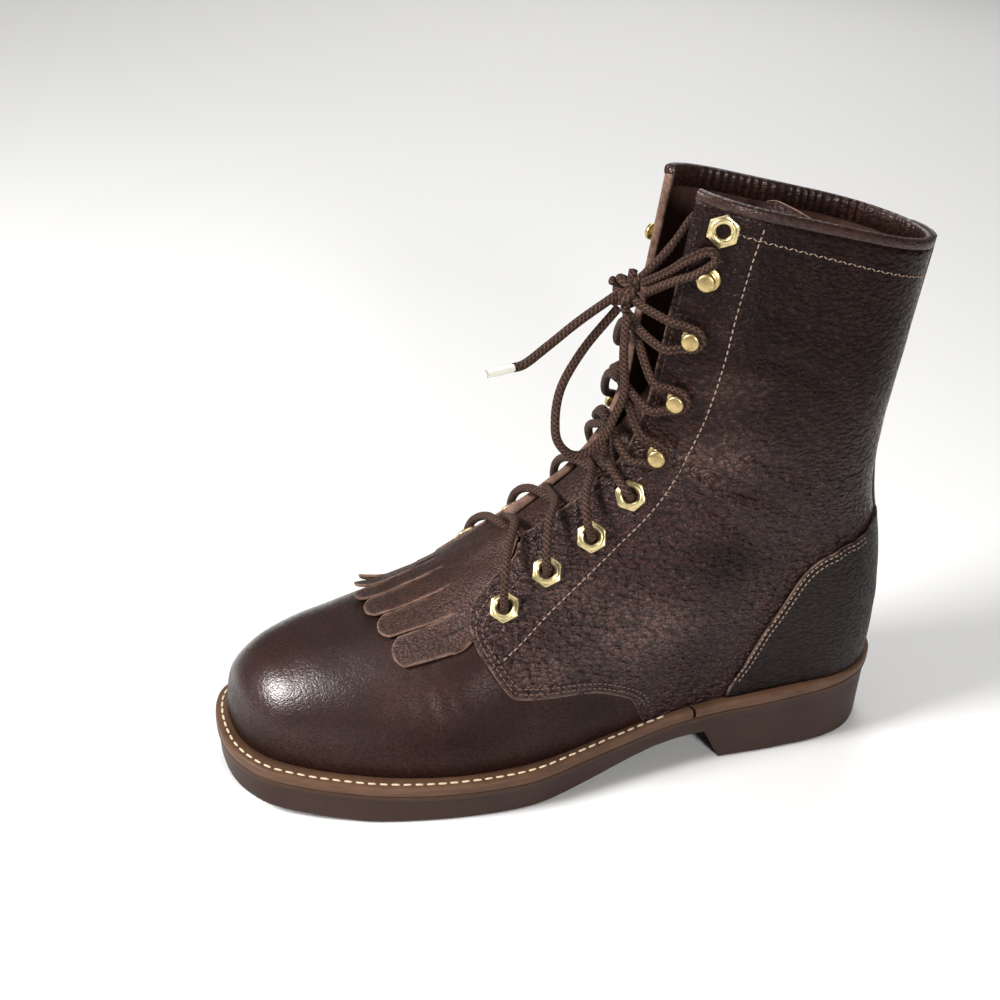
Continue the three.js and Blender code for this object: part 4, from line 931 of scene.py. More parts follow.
@dataclass(frozen=True)
class Leather:
    """Oiled leather: colours, grain, painted light and shade, wear and gloss.

    The run attribute holds painted light and shade, above 0 darker and below 0 lighter, and the
    wear of cut edges. Painted shade darkens and calm flattens the grain up the shaft, the crown
    share paints a glint on the pebbles' tops, partly as worn grain, and toe keeps the top coat to
    the upper side of the toe.
    """

    name: str
    base: tuple
    patch: tuple
    # Colour of the grain's furrows, also used for the painted shade.
    furrow: tuple
    scale: float
    depth: float
    wrinkle: float
    rough: float
    coat: float
    coat_rough: float = 0.3
    # Colour of flecks and scuffs, also used for the painted light.
    fleck: tuple = rgb(104, 72, 56)
    # Colour of edge wear, also used for the painted glint on pebble tops.
    worn: tuple = rgb(128, 100, 86)
    flecks: float = 0.25
    scuffs: float = 0.2
    shine: float = 0.3
    # Painted shade: how far the leather darkens up the shaft.
    painted_shade_up_shaft: float = 0.0
    calm: float = 0.0
    # Lighter pebble tops: painted glint, partly worn grain tops.
    crown_glint_and_wear: float = 0.0
    toe: bool = False

    def build(self, groups: dict) -> bpy.types.Material:
        """Makes the material with the shared groups."""
        material, graph, shader = new_material(self.name)
        where = graph.place()
        grain = graph.group(groups["pebble"], Vector=where, Scale=self.scale, Wrinkle=self.wrinkle)
        mottle = graph.group(groups["mottle"], Vector=where)
        # Painted light and shade, and the wear of cut edges, from the run attribute.
        painted_light_and_shade, wear, _ = graph.run()
        rise = graph.ramp(graph.split(where)[2], 0.07, 0.20)
        # Painted shade: the darker spots and the darkening up the shaft.
        dark = graph.math("MAXIMUM", painted_light_and_shade, graph.times(rise, self.painted_shade_up_shaft), clamp=True)
        # Painted light: the lighter spots.
        light = graph.math("MULTIPLY", graph.math("MINIMUM", painted_light_and_shade, 0.0), -1.0, clamp=True)
        # Pebble tops lightened: painted glint in the lit spots and by the crown share, partly worn grain
        # tops.
        glint_and_worn_crown = graph.times(graph.minus(1.0, grain["Furrow"]), graph.plus(light, self.crown_glint_and_wear))
        glint_and_worn_crown = graph.times(glint_and_worn_crown, graph.ramp(graph.noise(where, 900.0, 2.0), 0.45, 0.65))
        wear = graph.times(wear, graph.ramp(graph.noise(where, 160.0, 3.0), 0.3, 0.6))
        colour = graph.mix(mottle["Patch"], self.base, self.patch)
        # Layers: painted shade in the furrow colour, painted light in the fleck colour, grain furrows, pebble
        # tops as painted glint and wear, edge wear, flecks and scuffs.
        for mask, share, over in (
            (dark, 0.85, self.furrow), (light, 0.3, self.fleck), (grain["Furrow"], 0.8, self.furrow),
            (glint_and_worn_crown, 0.0 if self.toe else 0.5, self.worn), (wear, 0.75, self.worn),
            (mottle["Fleck"], self.flecks, self.fleck), (mottle["Scuff"], self.scuffs, self.fleck),
        ):
            colour = graph.mix(graph.times(mask, share), colour, over)
        rough = graph.plus(self.rough, graph.times(mottle["Patch"], -0.07))
        shine = graph.minus(graph.plus(1.0, light), graph.times(dark, 0.75))
        bump = graph.node("ShaderNodeBump", {
            "Strength": graph.minus(1.0, graph.times(rise, self.calm)), "Distance": self.depth / 1000,
            "Height": grain["Height"],
        }).outputs[0]
        for key, value in {
            "Base Color": colour,
            "Roughness": graph.plus(rough, graph.times(grain["Furrow"], 0.16), clamp=True),
            "Specular IOR Level": graph.times(shine, self.shine), "Specular Tint": (1.0, 0.72, 0.68, 1.0),
            "Coat Weight": self.polish(graph, where) if self.toe else self.coat,
            "Coat Roughness": self.coat_rough, "Normal": bump, "Coat Normal": bump,
        }.items():
            graph.feed(shader.inputs[key], value)
        return material

    def polish(self, graph: Graph, where: bpy.types.NodeSocket) -> bpy.types.NodeSocket:
        """Top coat that fades behind the toe and where the leather turns down."""
        turned = graph.split(graph.node("ShaderNodeNewGeometry").outputs["Normal"])[2]
        ahead = graph.ramp(graph.split(where)[0], -0.225, -0.180, 1.0, 0.1)
        return graph.times(graph.times(ahead, graph.ramp(turned, 0.1, 0.55, 0.1, 1.0)), self.coat)


@dataclass(frozen=True)
class Nap:
    """Dull fibrous surface: suede, raw cut edge, lining, worn insole or rubber."""

    name: str
    base: tuple
    other: tuple
    scale: float
    depth: float
    rough: float
    streak: tuple = (1.0, 1.0, 1.0)
    sheen: float = 0.0

    def build(self, groups: dict) -> bpy.types.Material:
        """Makes the material with the shared groups."""
        material, graph, shader = new_material(self.name)
        where = graph.place()
        fibre = graph.noise(graph.vector("MULTIPLY", where, self.streak), self.scale, 5.0, 0.7)
        patch = graph.group(groups["mottle"], Vector=where)["Patch"]
        share = graph.plus(graph.times(graph.ramp(fibre, 0.3, 0.7), 0.6), graph.times(patch, 0.4))
        bump = graph.node("ShaderNodeBump", {"Strength": 1.0, "Distance": self.depth / 1000, "Height": fibre})
        for key, value in {
            "Base Color": graph.mix(share, self.base, self.other), "Roughness": self.rough,
            "Specular IOR Level": 0.2, "Sheen Weight": self.sheen, "Normal": bump.outputs[0],
        }.items():
            graph.feed(shader.inputs[key], value)
        return material


@dataclass(frozen=True)
class Braid:
    """Round braided lace: crossed ribs that run along the piece's own run attribute."""

    name: str
    base: tuple
    light: tuple
    gap: tuple
    pitch: float
    strands: float

    def build(self, groups: dict) -> bpy.types.Material:
        """Makes the material; ribs are the larger of two opposed slanted waves."""
        material, graph, shader = new_material(self.name)
        length, turn, _ = graph.run()
        along = graph.times(length, 2 * math.pi / self.pitch)
        turn = graph.times(turn, 2 * math.pi * self.strands)
        one = graph.math("SINE", graph.plus(along, turn))
        two = graph.math("SINE", graph.minus(along, turn))
        weave = graph.math("MAXIMUM", one, two)
        fleck = graph.ramp(graph.times(one, graph.noise(graph.place(), 700.0, 2.0)), 0.30, 0.52)
        colour = graph.mix(graph.ramp(weave, -0.7, 0.9), self.gap, self.base)
        bump = graph.node("ShaderNodeBump", {"Strength": 1.0, "Distance": 0.0003, "Height": weave})
        for key, value in {
            "Base Color": graph.mix(graph.times(fleck, 0.35), colour, self.light), "Roughness": 0.7,
            "Specular IOR Level": 0.2, "Normal": bump.outputs[0],
        }.items():
            graph.feed(shader.inputs[key], value)
        return material


@dataclass(frozen=True)
class Hard:
    """Plain hard or thread surface: brass, plastic, thread, floor."""

    name: str
    colour: tuple
    rough: float
    metal: float = 0.0
    coat: float = 0.0
    speck: float = 0.0
    tarnish: tuple = rgb(120, 92, 50)

    def build(self, groups: dict) -> bpy.types.Material:
        """Makes the material; tarnish specks dull the metal."""
        material, graph, shader = new_material(self.name)
        for key, value in {
            "Base Color": self.colour, "Metallic": self.metal, "Roughness": self.rough,
            "Coat Weight": self.coat,
        }.items():
            graph.feed(shader.inputs[key], value)
        if self.speck:
            tarnish = graph.ramp(graph.noise(graph.place(), 420.0, 4.0), 0.45, 0.75)
            colour = graph.mix(graph.times(tarnish, self.speck), self.colour, self.tarnish)
            graph.feed(shader.inputs["Base Color"], colour)
            graph.feed(shader.inputs["Roughness"], graph.plus(self.rough, graph.times(tarnish, 0.22)))
        return material


FINISHES = (
    # name; base, patch and furrow colours, the furrow colour also the painted shade; scale, depth, wrinkle,
    # roughness and coat of the grain
    Leather("vamp_leather", rgb(36, 19, 15), rgb(50, 28, 22), rgb(18, 10, 9), 1100.0, 0.06, 0.0, 0.42, 0.9,
            flecks=0.05, scuffs=0.30, shine=0.2, coat_rough=0.26, toe=True),
    # The upper: painted shade up the shaft and a painted glint on its pebble tops.
    Leather("upper_leather", rgb(31, 15, 14), rgb(45, 23, 21), rgb(9, 5, 5), 470.0, 0.95, 0.34, 0.29, 0.03,
            flecks=0.10, scuffs=0.12, shine=0.38, painted_shade_up_shaft=0.80, calm=0.7, crown_glint_and_wear=0.12),
    Leather("counter_leather", rgb(15, 11, 10), rgb(21, 15, 13), rgb(7, 5, 5), 560.0, 0.40, 0.25, 0.42, 0.05,
            fleck=rgb(110, 94, 82), flecks=0.15, scuffs=0.12, shine=0.2),
    Leather("kiltie_leather", rgb(46, 28, 22), rgb(62, 38, 30), rgb(22, 13, 10), 1000.0, 0.20, 0.5, 0.42,
            0.08, shine=0.3, flecks=0.1, scuffs=0.1),
    # The tongue: painted shade up the shaft.
    Leather("tongue_leather", rgb(52, 33, 27), rgb(70, 45, 36), rgb(22, 13, 11), 640.0, 0.35, 0.4, 0.40, 0.06,
            shine=0.35, painted_shade_up_shaft=0.4),
    Leather("binding_leather", rgb(42, 25, 20), rgb(58, 35, 28), rgb(18, 11, 9), 700.0, 0.15, 0.2, 0.32, 0.3),
    # name; two colours; scale, depth and roughness of the fibres; their streak
    Nap("lining_leather", rgb(50, 32, 26), rgb(80, 53, 42), 260.0, 0.3, 0.6, (1.0, 1.0, 0.4)),
    Nap("raw_edge", rgb(84, 60, 50), rgb(146, 116, 102), 420.0, 0.3, 0.85),
    Nap("dark_edge", rgb(40, 26, 21), rgb(78, 56, 46), 500.0, 0.25, 0.6),
    Nap("tongue_suede", rgb(96, 74, 66), rgb(124, 100, 90), 420.0, 0.25, 0.7, sheen=0.3),
    Nap("insole_leather", rgb(140, 108, 78), rgb(168, 134, 100), 240.0, 0.2, 0.8),
    Nap("welt_leather", rgb(72, 50, 37), rgb(98, 71, 53), 260.0, 0.25, 0.5, (0.3, 0.3, 2.0)),
    Nap("welt_dark", rgb(56, 37, 26), rgb(70, 47, 33), 300.0, 0.15, 0.55),
    Nap("outsole_rubber", rgb(46, 30, 25), rgb(58, 39, 32), 350.0, 0.12, 0.55),
    Braid("lace_cord", rgb(66, 44, 35), rgb(124, 96, 80), rgb(42, 28, 23), 2.1, 4.0),
    Hard("brass", rgb(216, 198, 148), 0.30, 1.0, speck=0.4),
    Hard("hook_brass", rgb(188, 166, 116), 0.34, 1.0, speck=0.5),
    # Near black painted as the shade in eyelet holes and in the fringe's cuts.
    Hard("painted_hole_shade", rgb(12, 8, 7), 0.9),
    Hard("aglet_plastic", rgb(214, 210, 200), 0.25, coat=0.4),
    Hard("thread_cream", rgb(206, 186, 156), 0.75),
    Hard("thread_tan", rgb(146, 124, 106), 0.7),
    Hard("thread_dark", rgb(56, 38, 32), 0.7),
    Hard("thread_brown", rgb(104, 80, 68), 0.7),
    Hard("floor", rgb(236, 235, 233), 0.8),
)
MATERIALS: dict = {}


def paint(*names: str) -> list:
    """Materials by name, in slot order."""
    return [MATERIALS[name] for name in names]


# Camera, light and floor.


LIGHTS = (
    # name, place, size, power
    ("key", (-1.20, -0.16, 0.90), 0.42, 26.0),
    ("front", (-0.06, -1.19, 0.66), 0.24, 10.0),
    ("top", (-0.1, 0.1, 1.6), 1.1, 5.5),
    ("back", (0.6, 1.9, 1.7), 1.6, 26.0),
)


def link_at(name: str, data: bpy.types.ID, axes: Sequence[np.ndarray], at: np.ndarray) -> bpy.types.Object:
    """Camera or light with its three axes at a place."""
    matrix = np.eye(4)
    matrix[:3, :3] = np.stack(axes, 1)
    matrix[:3, 3] = at
    made = bpy.data.objects.new(name, data)
    made.matrix_world = Matrix(matrix.tolist())
    bpy.context.scene.collection.objects.link(made)
    return made


@dataclass
class Studio:
    """Camera of the photograph, a pale floor and soft light."""

    target: np.ndarray = field(default_factory=lambda: metres(CAMERA_TO))
    eye: np.ndarray = field(default_factory=lambda: metres(CAMERA_AT))
    aim: tuple = (-0.11, 0, 0.12)
    half_floor: float = 4.0
    glow: float = 0.10

    def camera(self) -> None:
        """Places the camera with the photograph's roll and principal point."""
        data = bpy.data.cameras.new("camera")
        data.sensor_width, data.lens = 36.0, CAMERA_LENS
        data.shift_x, data.shift_y = CAMERA_SHIFT
        data.clip_start, data.clip_end = 0.05, 20
        ahead = unit(self.target - self.eye)
        right = unit(np.cross(ahead, [0, 0, 1.0]))
        up = np.cross(right, ahead)
        turn = math.radians(CAMERA_ROLL)
        c, s = math.cos(turn), math.sin(turn)
        axes = (c * right + s * up, c * up - s * right, -ahead)
        bpy.context.scene.camera = link_at("camera", data, axes, self.eye)

    def lamp(self, name: str, at: Sequence[float], size: float, power: float) -> None:
        """Round soft light aimed at the middle of the boot."""
        data = bpy.data.lights.new(name, "AREA")
        data.shape, data.size, data.energy = "DISK", size, power
        away = unit(np.asarray(at, float) - np.array(self.aim))
        side = unit(np.cross([0, 0, 1.0], away) + 1e-6)
        link_at(name, data, (side, np.cross(away, side), away), at)

    def build(self) -> None:
        """Floor, world and lights."""
        half = self.half_floor
        mesh = bpy.data.meshes.new("floor")
        corners = [(-half, -half, 0), (half, -half, 0), (half, half, 0), (-half, half, 0)]
        mesh.from_pydata(corners, [], [(0, 1, 2, 3)])
        mesh.materials.append(MATERIALS["floor"])
        floor = bpy.data.objects.new("floor", mesh)
        bpy.context.scene.collection.objects.link(floor)
        world = bpy.data.worlds.new("studio")
        world.use_nodes = True
        background = world.node_tree.nodes["Background"]
        background.inputs[0].default_value = (1.0, 0.99, 0.98, 1)
        background.inputs[1].default_value = self.glow
        bpy.context.scene.world = world
        for light in LIGHTS:
            self.lamp(*light)
        bpy.context.scene.view_settings.view_transform = "Standard"


# Sole.


def sole_shares() -> np.ndarray:
    """Stations along the sole, closer at its ends and at the heel's breast."""
    t = np.linspace(0, 1, 240)
    breast = 1 - np.array([HEEL_LENGTH + BREAST_SLOPE, HEEL_LENGTH + 0.4, HEEL_LENGTH]) / LENGTH
    return np.unique(np.concatenate([0.5 * t + 0.5 * eased(t), eased(t), breast]))


class SoleShape:
    """Rings of the sole: the smooth closed outline moved inwards and cut at common x stations."""

    def __init__(self) -> None:
        x = -LENGTH * (1 - OUTLINE[:, 0])
        outer = np.column_stack([x, -BALL_HALF * OUTLINE[:, 1], 0 * x])
        inner = np.column_stack([x, BALL_HALF * OUTLINE[:, 2], 0 * x])[1:-1][::-1]
        self.loop = smooth_line(np.vstack([outer, inner]), 1440, closed=True)
        way = unit(np.roll(self.loop, -1, 0) - np.roll(self.loop, 1, 0))
        self.inward = np.column_stack([-way[:, 1], way[:, 0], 0 * way[:, 0]])

    def halves(self, inset: float) -> tuple[np.ndarray, np.ndarray]:
        """Outer and inner halves of the inset loop, from toe to heel."""
        loop = self.loop + self.inward * inset
        tip, heel = int(loop[:, 0].argmin()), int(loop[:, 0].argmax())
        loop = np.roll(loop, -tip, 0)
        cut = (heel - tip) % len(loop)
        return loop[:cut + 1], np.vstack([loop[cut:], loop[:1]])[::-1]

    def ring(self, inset: float, height: Callable, shares: np.ndarray) -> np.ndarray:
        """Closed ring at the stations: outer side from toe to heel, then back along the inner."""
        outer, inner = self.halves(inset)
        x = outer[0, 0] + (outer[-1, 0] - outer[0, 0]) * shares
        sides = []
        for half in (outer, inner):
            order = np.maximum.accumulate(half[:, 0])
            sides.append(np.column_stack([x, np.interp(x, order, half[:, 1]), height(x)]))
        return np.vstack([sides[0], sides[1][::-1]])

    def body(self, name: str, layers: Sequence[tuple], materials: Sequence[bpy.types.Material],
             slots: Sequence[int]) -> bpy.types.Object:
        """Solid between the first and the last ring, closed by crosswise strips.

        Args:
            name: Object name.
            layers: Inset and height of each ring, upwards.
            materials: Materials in slot order.
            slots: Material index of each band between two rings.
        Returns:
            The linked object.
        """
        shares = sole_shares()
        rings = np.stack([self.ring(inset, height, shares) for inset, height in layers])
        count, around = rings.shape[:2]
        half = around // 2
        quads = grid_quads(count, around, True)
        i = np.arange(half - 1)
        low = np.column_stack([around - 1 - i, around - 2 - i, i + 1, i])
        top = (count - 1) * around
        high = np.column_stack([i, i + 1, around - 2 - i, around - 1 - i]) + top
        faces = np.vstack([quads, low, high])
        picked = np.concatenate([np.repeat(slots, around), np.zeros(2 * (half - 1), int)])
        points = rings.reshape(-1, 3)
        if faces_inwards(points, quads, points.mean(0)):
            faces = faces[:, ::-1]
        return welded(name, points, faces, materials, picked)


def welded(name: str, points: np.ndarray, quads: np.ndarray, materials: Sequence[bpy.types.Material],
           slots: Optional[np.ndarray] = None) -> bpy.types.Object:
    """Object from quads with coincident points joined and collapsed faces dropped."""
    _, first, inverse = np.unique(np.round(points / 0.003).astype(np.int64), axis=0,
                                  return_index=True, return_inverse=True)
    inverse = inverse.ravel()
    faces, kept = [], []
    for k, quad in enumerate(inverse[quads].tolist()):
        corners = [v for j, v in enumerate(quad) if v != quad[j - 1]]
        if len(corners) > 2 and len(set(corners)) == len(corners):
            faces.append(tuple(corners))
            kept.append(0 if slots is None else int(slots[k]))
    return make_object(name, points[first], faces, materials, np.array(kept))


@dataclass
class Sole:
    """Rubber outsole with its heel, stitched welt, heel rand and insole."""

    shape: SoleShape = field(default_factory=SoleShape)
    parting: float = -1.08 * (HEEL_LENGTH + BREAST_SLOPE)
    stitch_inset: float = 2.9
    stitch_pitch: float = 4.9
    stitch_end: float = -0.375 * LENGTH
    band_profile: tuple = (  # inset, height over the seat
        (0.45, 0.02), (0.0, 0.35), (-0.1, 1.4), (0.0, 2.9), (0.25, 3.75), (0.9, 4.3), (2.0, 4.45),
        (5.0, 4.35), (11.0, 4.2), (11.0, 0.02),
    )

    def outsole(self) -> None:
        """Outsole: rounded tread edge, drawn-in side with a ridge, lip below the welt."""
        def low(lift: float) -> Callable:
            return lambda x: tread(x) + lift

        def between(share: float) -> Callable:
            return lambda x: tread(x) + (seat(x) - 1.9 - tread(x)) * share

        def high(drop: float) -> Callable:
            return lambda x: seat(x) - drop

        layers = (
            (3.6, low(0)), (2.6, low(0.15)), (1.9, low(0.7)), (1.65, low(1.6)), (1.5, between(0.35)),
            (1.25, between(0.62)), (1.05, between(0.86)), (0.9, high(2.3)), (0.45, high(2.0)),
            (0.1, high(1.75)), (0.0, high(1.2)), (0.1, high(0.3)), (0.35, high(0.02)), (2.0, high(0)),
        )
        slots = [0] * 7 + [1] * 5 + [0]
        made = self.shape.body("outsole", layers, paint("outsole_rubber", "welt_dark"), slots)
        finish_piece(made, ["outsole"])

    def band(self, name: str, ahead: bool) -> None:
        """Welt or rand: a rounded band from the outline in to the upper, ahead of or behind the parting."""
        shares = sole_shares()
        rings = np.stack([
            self.shape.ring(inset, lambda x, lift=lift: seat(x) + GAP * 0.2 + lift, shares)
            for inset, lift in self.band_profile
        ])
        x = rings[0, :, 0]
        keep = x < self.parting if ahead else x >= self.parting - 0.4
        order = np.arange(len(x))
        if ahead:
            start = int(np.nonzero(keep[len(x) // 2:])[0][0]) + len(x) // 2
            order = np.roll(order, -start)
        order = order[keep[order]]
        rings = rings[:, order]
        levels, count = rings.shape[:2]
        quads = grid_quads(levels, count)
        i, last = np.arange(count - 1), (levels - 1) * count
        under = np.stack([last + i, i, i + 1, last + i + 1], 1)
        ends = [np.arange(levels) * count + k for k in (0, count - 1)]
        caps = np.array([(end[k], end[k + 1], end[-2 - k], end[-1 - k]) for end in ends for k in range(4)])
        caps[4:] = caps[4:, ::-1]
        faces = np.vstack([quads, under, caps])
        points = rings.reshape(-1, 3)
        if faces_inwards(points, quads, np.array([-0.5 * LENGTH, 0, 15.0])):
            faces = faces[:, ::-1]
        finish_piece(welded(name, points, faces, paint("welt_leather")), [name])

    def insole(self) -> None:
        """Insole plate inside the upper's wall."""
        x = np.linspace(-LENGTH * 0.972, -0.0295 * LENGTH, 90)
        c = np.linspace(-1, 1, 24)
        z = seat(x) + INSOLE + 0.2
        edges = [side_points(x, z, side)[:, 1] - side * (WALL + 0.5) for side in Side]
        y = edges[0][:, None] + (edges[1] - edges[0])[:, None] * (c[None] + 1) / 2
        top = np.stack([np.broadcast_to(x[:, None], y.shape), y, np.broadcast_to(z[:, None], y.shape)], -1)
        finish = paint("insole_leather", "raw_edge", "raw_edge")
        finish_piece(slab("insole", top, top - [0, 0, INSOLE - 0.2], finish), ["insole"])

    def welt_stitches(self) -> None:
        """Cream lockstitches along the welt, set in from its edge."""
        outer, inner = self.shape.halves(self.stitch_inset)
        loop = np.vstack([inner[::-1], outer[1:]])
        loop = loop[loop[:, 0] < self.stitch_end]
        line = spread(np.column_stack([loop[:, :2], seat(loop[:, 0]) + 4.42]), 900)
        frames = stitch_row(line, np.tile([0, 0, 1.0], (len(line), 1)), self.stitch_pitch, 0.74, 1.0)
        points, faces = repeat(*stitch_form(1.0, 1.15, 0.9), frames)
        finish_piece(make_object("welt_stitches", points, faces, paint("thread_cream")))

    def build(self) -> None:
        """All parts of the bottom."""
        self.outsole()
        self.band("welt", True)
        self.band("heel_rand", False)
        self.insole()
        self.welt_stitches()


# Upper.


QUARTER_LINE = np.vstack([
    smooth_line(np.column_stack([QUARTER[1:22], np.zeros(21)]), 200)[:, :2], QUARTER[22:], QUARTER[:1],
])


def throat_half(row: np.ndarray) -> np.ndarray:
    """Half width of the throat's opening at a row."""
    return BALL_HALF * smooth_column(THROAT, 1, row)


def trim_share(row: np.ndarray, side: int) -> np.ndarray:
    """Share at which each section meets the insole plane, or 1 where it ends on the back line."""
    low, high = np.zeros_like(row), np.ones_like(row)
    for _ in range(24):
        mid = (low + high) / 2
        point = skin(row, side, mid)
        above = point[..., 2] > seat(point[..., 0]) + GAP
        low, high = np.where(above, mid, low), np.where(above, high, mid)
    return np.where(high > 0.9999, 1.0, low)


def inside(polygon: np.ndarray, x: np.ndarray, z: np.ndarray) -> np.ndarray:
    """Whether side-view points lie in a closed outline, by counting crossings."""
    hit = np.zeros(x.shape, bool)
    for (ax, az), (bx, bz) in zip(polygon, np.roll(polygon, -1, 0)):
        if az != bz:
            hit ^= ((az > z) != (bz > z)) & (x < (bx - ax) * (z - az) / (bz - az) + ax)
    return hit


def quarter_span(row: np.ndarray, side: int, front: float = 0.0) -> tuple[np.ndarray, np.ndarray]:
    """First and last share of a quarter on each section row, NaN where it has none.

    Args:
        row: Section rows.
        side: OUTER or INNER.
        front: Millimetres to draw the throat edge back.
    Returns:
        Start and end shares, each halfway between two samples.
    """
    flat = np.linspace(0, 1, 1601) ** 1.5
    shares = flat[None]
    grid = skin(row[:, None], side, shares + 0 * row[:, None])
    half = np.where(row < THROAT[0, 0], 0.0, throat_half(row)) + front
    end = trim_share(row, side)
    fine = np.abs(grid[..., 1] - section(row)[:, None, 6]) >= half[:, None]
    fine |= shares > 0.5
    fine &= shares <= end[:, None]
    fine &= inside(QUARTER_LINE, grid[..., 0], np.minimum(grid[..., 2], 1.1 * HEIGHT))
    first = fine.argmax(1)
    last = len(flat) - 1 - fine[:, ::-1].argmax(1)
    start = np.where(first > 0, (flat[first] + flat[np.maximum(first - 1, 0)]) / 2, flat[first])
    after = flat[np.minimum(last + 1, len(flat) - 1)]
    stop = np.minimum(np.where(last < len(flat) - 1, (flat[last] + after) / 2, 1.0), end)
    found = fine.any(1)
    return np.where(found, start, np.nan), np.where(found, stop, np.nan)


def shrink(line: np.ndarray, inset: float) -> np.ndarray:
    """Closed outline moved inwards along its own normals."""
    way = unit(np.roll(line, -1, 0) - np.roll(line, 1, 0))
    area = 0.5 * (line[:, 0] * np.roll(line[:, 1], -1) - np.roll(line[:, 0], -1) * line[:, 1]).sum()
    inward = np.column_stack([-way[:, 1], way[:, 0]]) * (1 if area > 0 else -1)
    return line + inward * inset


def smooth_shares(values: np.ndarray) -> np.ndarray:
    """Light three-point smoothing that keeps the ends."""
    out = values.copy()
    out[1:-1] = 0.25 * values[:-2] + 0.5 * values[1:-1] + 0.25 * values[2:]
    return out


def both_reliefs(points: np.ndarray, c: np.ndarray) -> np.ndarray:
    """Relief of a grid whose columns run from the outer side, c below 0, to the inner one."""
    return np.where(c[None] < 0, relief(points, OUTER), relief(points, INNER))


@dataclass
class Vamp:
    """Vamp: both sides from the toe to under the quarters, open at the throat."""

    last_row: float = 9.7
    columns: int = 181

    def build(self) -> None:
        """Sheet over the section rows, with its shares bunched at the ridge."""
        rows = np.concatenate([np.linspace(0, 6.62, 110), np.linspace(6.62, self.last_row, 40)[1:]])
        c = np.linspace(-1, 1, self.columns)
        side = np.where(c < 0, OUTER, INNER)
        end = np.where(side[None] < 0, trim_share(rows, OUTER)[:, None], trim_share(rows, INNER)[:, None])
        share = (1 - np.cos(np.abs(c) * np.pi / 2))[None] * end
        points = skin(rows[:, None] + 0 * share, side[None] + 0 * share, share)
        normals = grid_normals(points)
        normals[0] = unit(normals[0] + normals[0, ::-1])
        lift = both_reliefs(points, c)
        lift[0] = (lift[0] + lift[0, ::-1]) / 2
        top = points + normals * lift[..., None]
        bottom = points + normals * (lift - WALL)[..., None]
        half = throat_half(rows) + 1.0
        across = np.abs(points[..., 1] - section(rows)[:, None, 6])
        cut = (rows[:, None] > THROAT[0, 0] + 0.1) & (across < half[:, None]) & (share < 0.5)
        keep = ~(cut[:-1, :-1] | cut[1:, 1:])
        made = slab("vamp", top, bottom, paint("vamp_leather", "raw_edge", "lining_leather"), keep)
        finish_piece(made, ["upper"])


@dataclass
class Quarters:
    """Outer and inner quarters, a step above the vamp, with cut edges at the throat."""

    rows: int = 210
    columns: int = 96
    edge_bulge: float = 0.45
    pale_edge_x: float = -0.60 * LENGTH

    def grid(self, side: int) -> tuple[np.ndarray, np.ndarray]:
        """Points and normals of one quarter: rows from its front tip to the collar."""
        probe = np.linspace(5.8, 7.0, 241)
        start, stop = quarter_span(probe, side)
        first = probe[np.nonzero(~np.isnan(start) & (stop - start > 0.004))[0][0]]
        t = np.linspace(0, 1, self.rows)
        rows = first + (RIM_ROW - first) * (0.25 * t**2 + 0.75 * t**1.15)
        start, stop = quarter_span(rows, side)
        good = ~np.isnan(start)
        rows, start, stop = rows[good], smooth_shares(start[good]), smooth_shares(stop[good])
        even = np.linspace(0, 1, self.columns)
        w = (0.45 * eased(even) + 0.55 * even)[None]
        share = start[:, None] + (stop - start)[:, None] * (0.35 * w + 0.65 * (1 - np.cos(w * np.pi / 2)))
        last = stop > 0.9999
        share[last, -1] = 1.0
        points = skin(rows[:, None] + 0 * share, np.full(share.shape, side), share)
        normals = grid_normals(points)
        normals[last, -1, 1] = 0
        return points, unit(normals)

    def build(self) -> None:
        """Both quarters; the inner one's lower throat edge is thicker, the outer one's is pale."""
        for side in Side:
            points, normals = self.grid(side)
            lift = relief(points, side) + STEP + 0.05
            x, z = points[..., 0], points[..., 2]
            from_throat = np.linalg.norm(points - points[:, :1], axis=-1)
            low_edge = 0.2 + 1.6 * climb(118 - z, 0, 25)
            thick = low_edge * np.exp(-((from_throat / 3.0) ** 2)) * (side == INNER)
            top = points + normals * (lift + front_lift(x))[..., None]
            bottom = points + normals * (lift - STEP - WALL - thick)[..., None]
            plain = np.ones(x.shape, bool)
            plain[:, :3] = (points[:, 0, 0] < self.pale_edge_x)[:, None] & (side == OUTER)
            finish = paint("upper_leather", "raw_edge", "lining_leather", "dark_edge")
            name = f"quarter_{side.name.lower()}"
            made = slab(name, top, bottom, finish, bulge=self.edge_bulge, plain=plain)
            finish_piece(made, ["upper"])


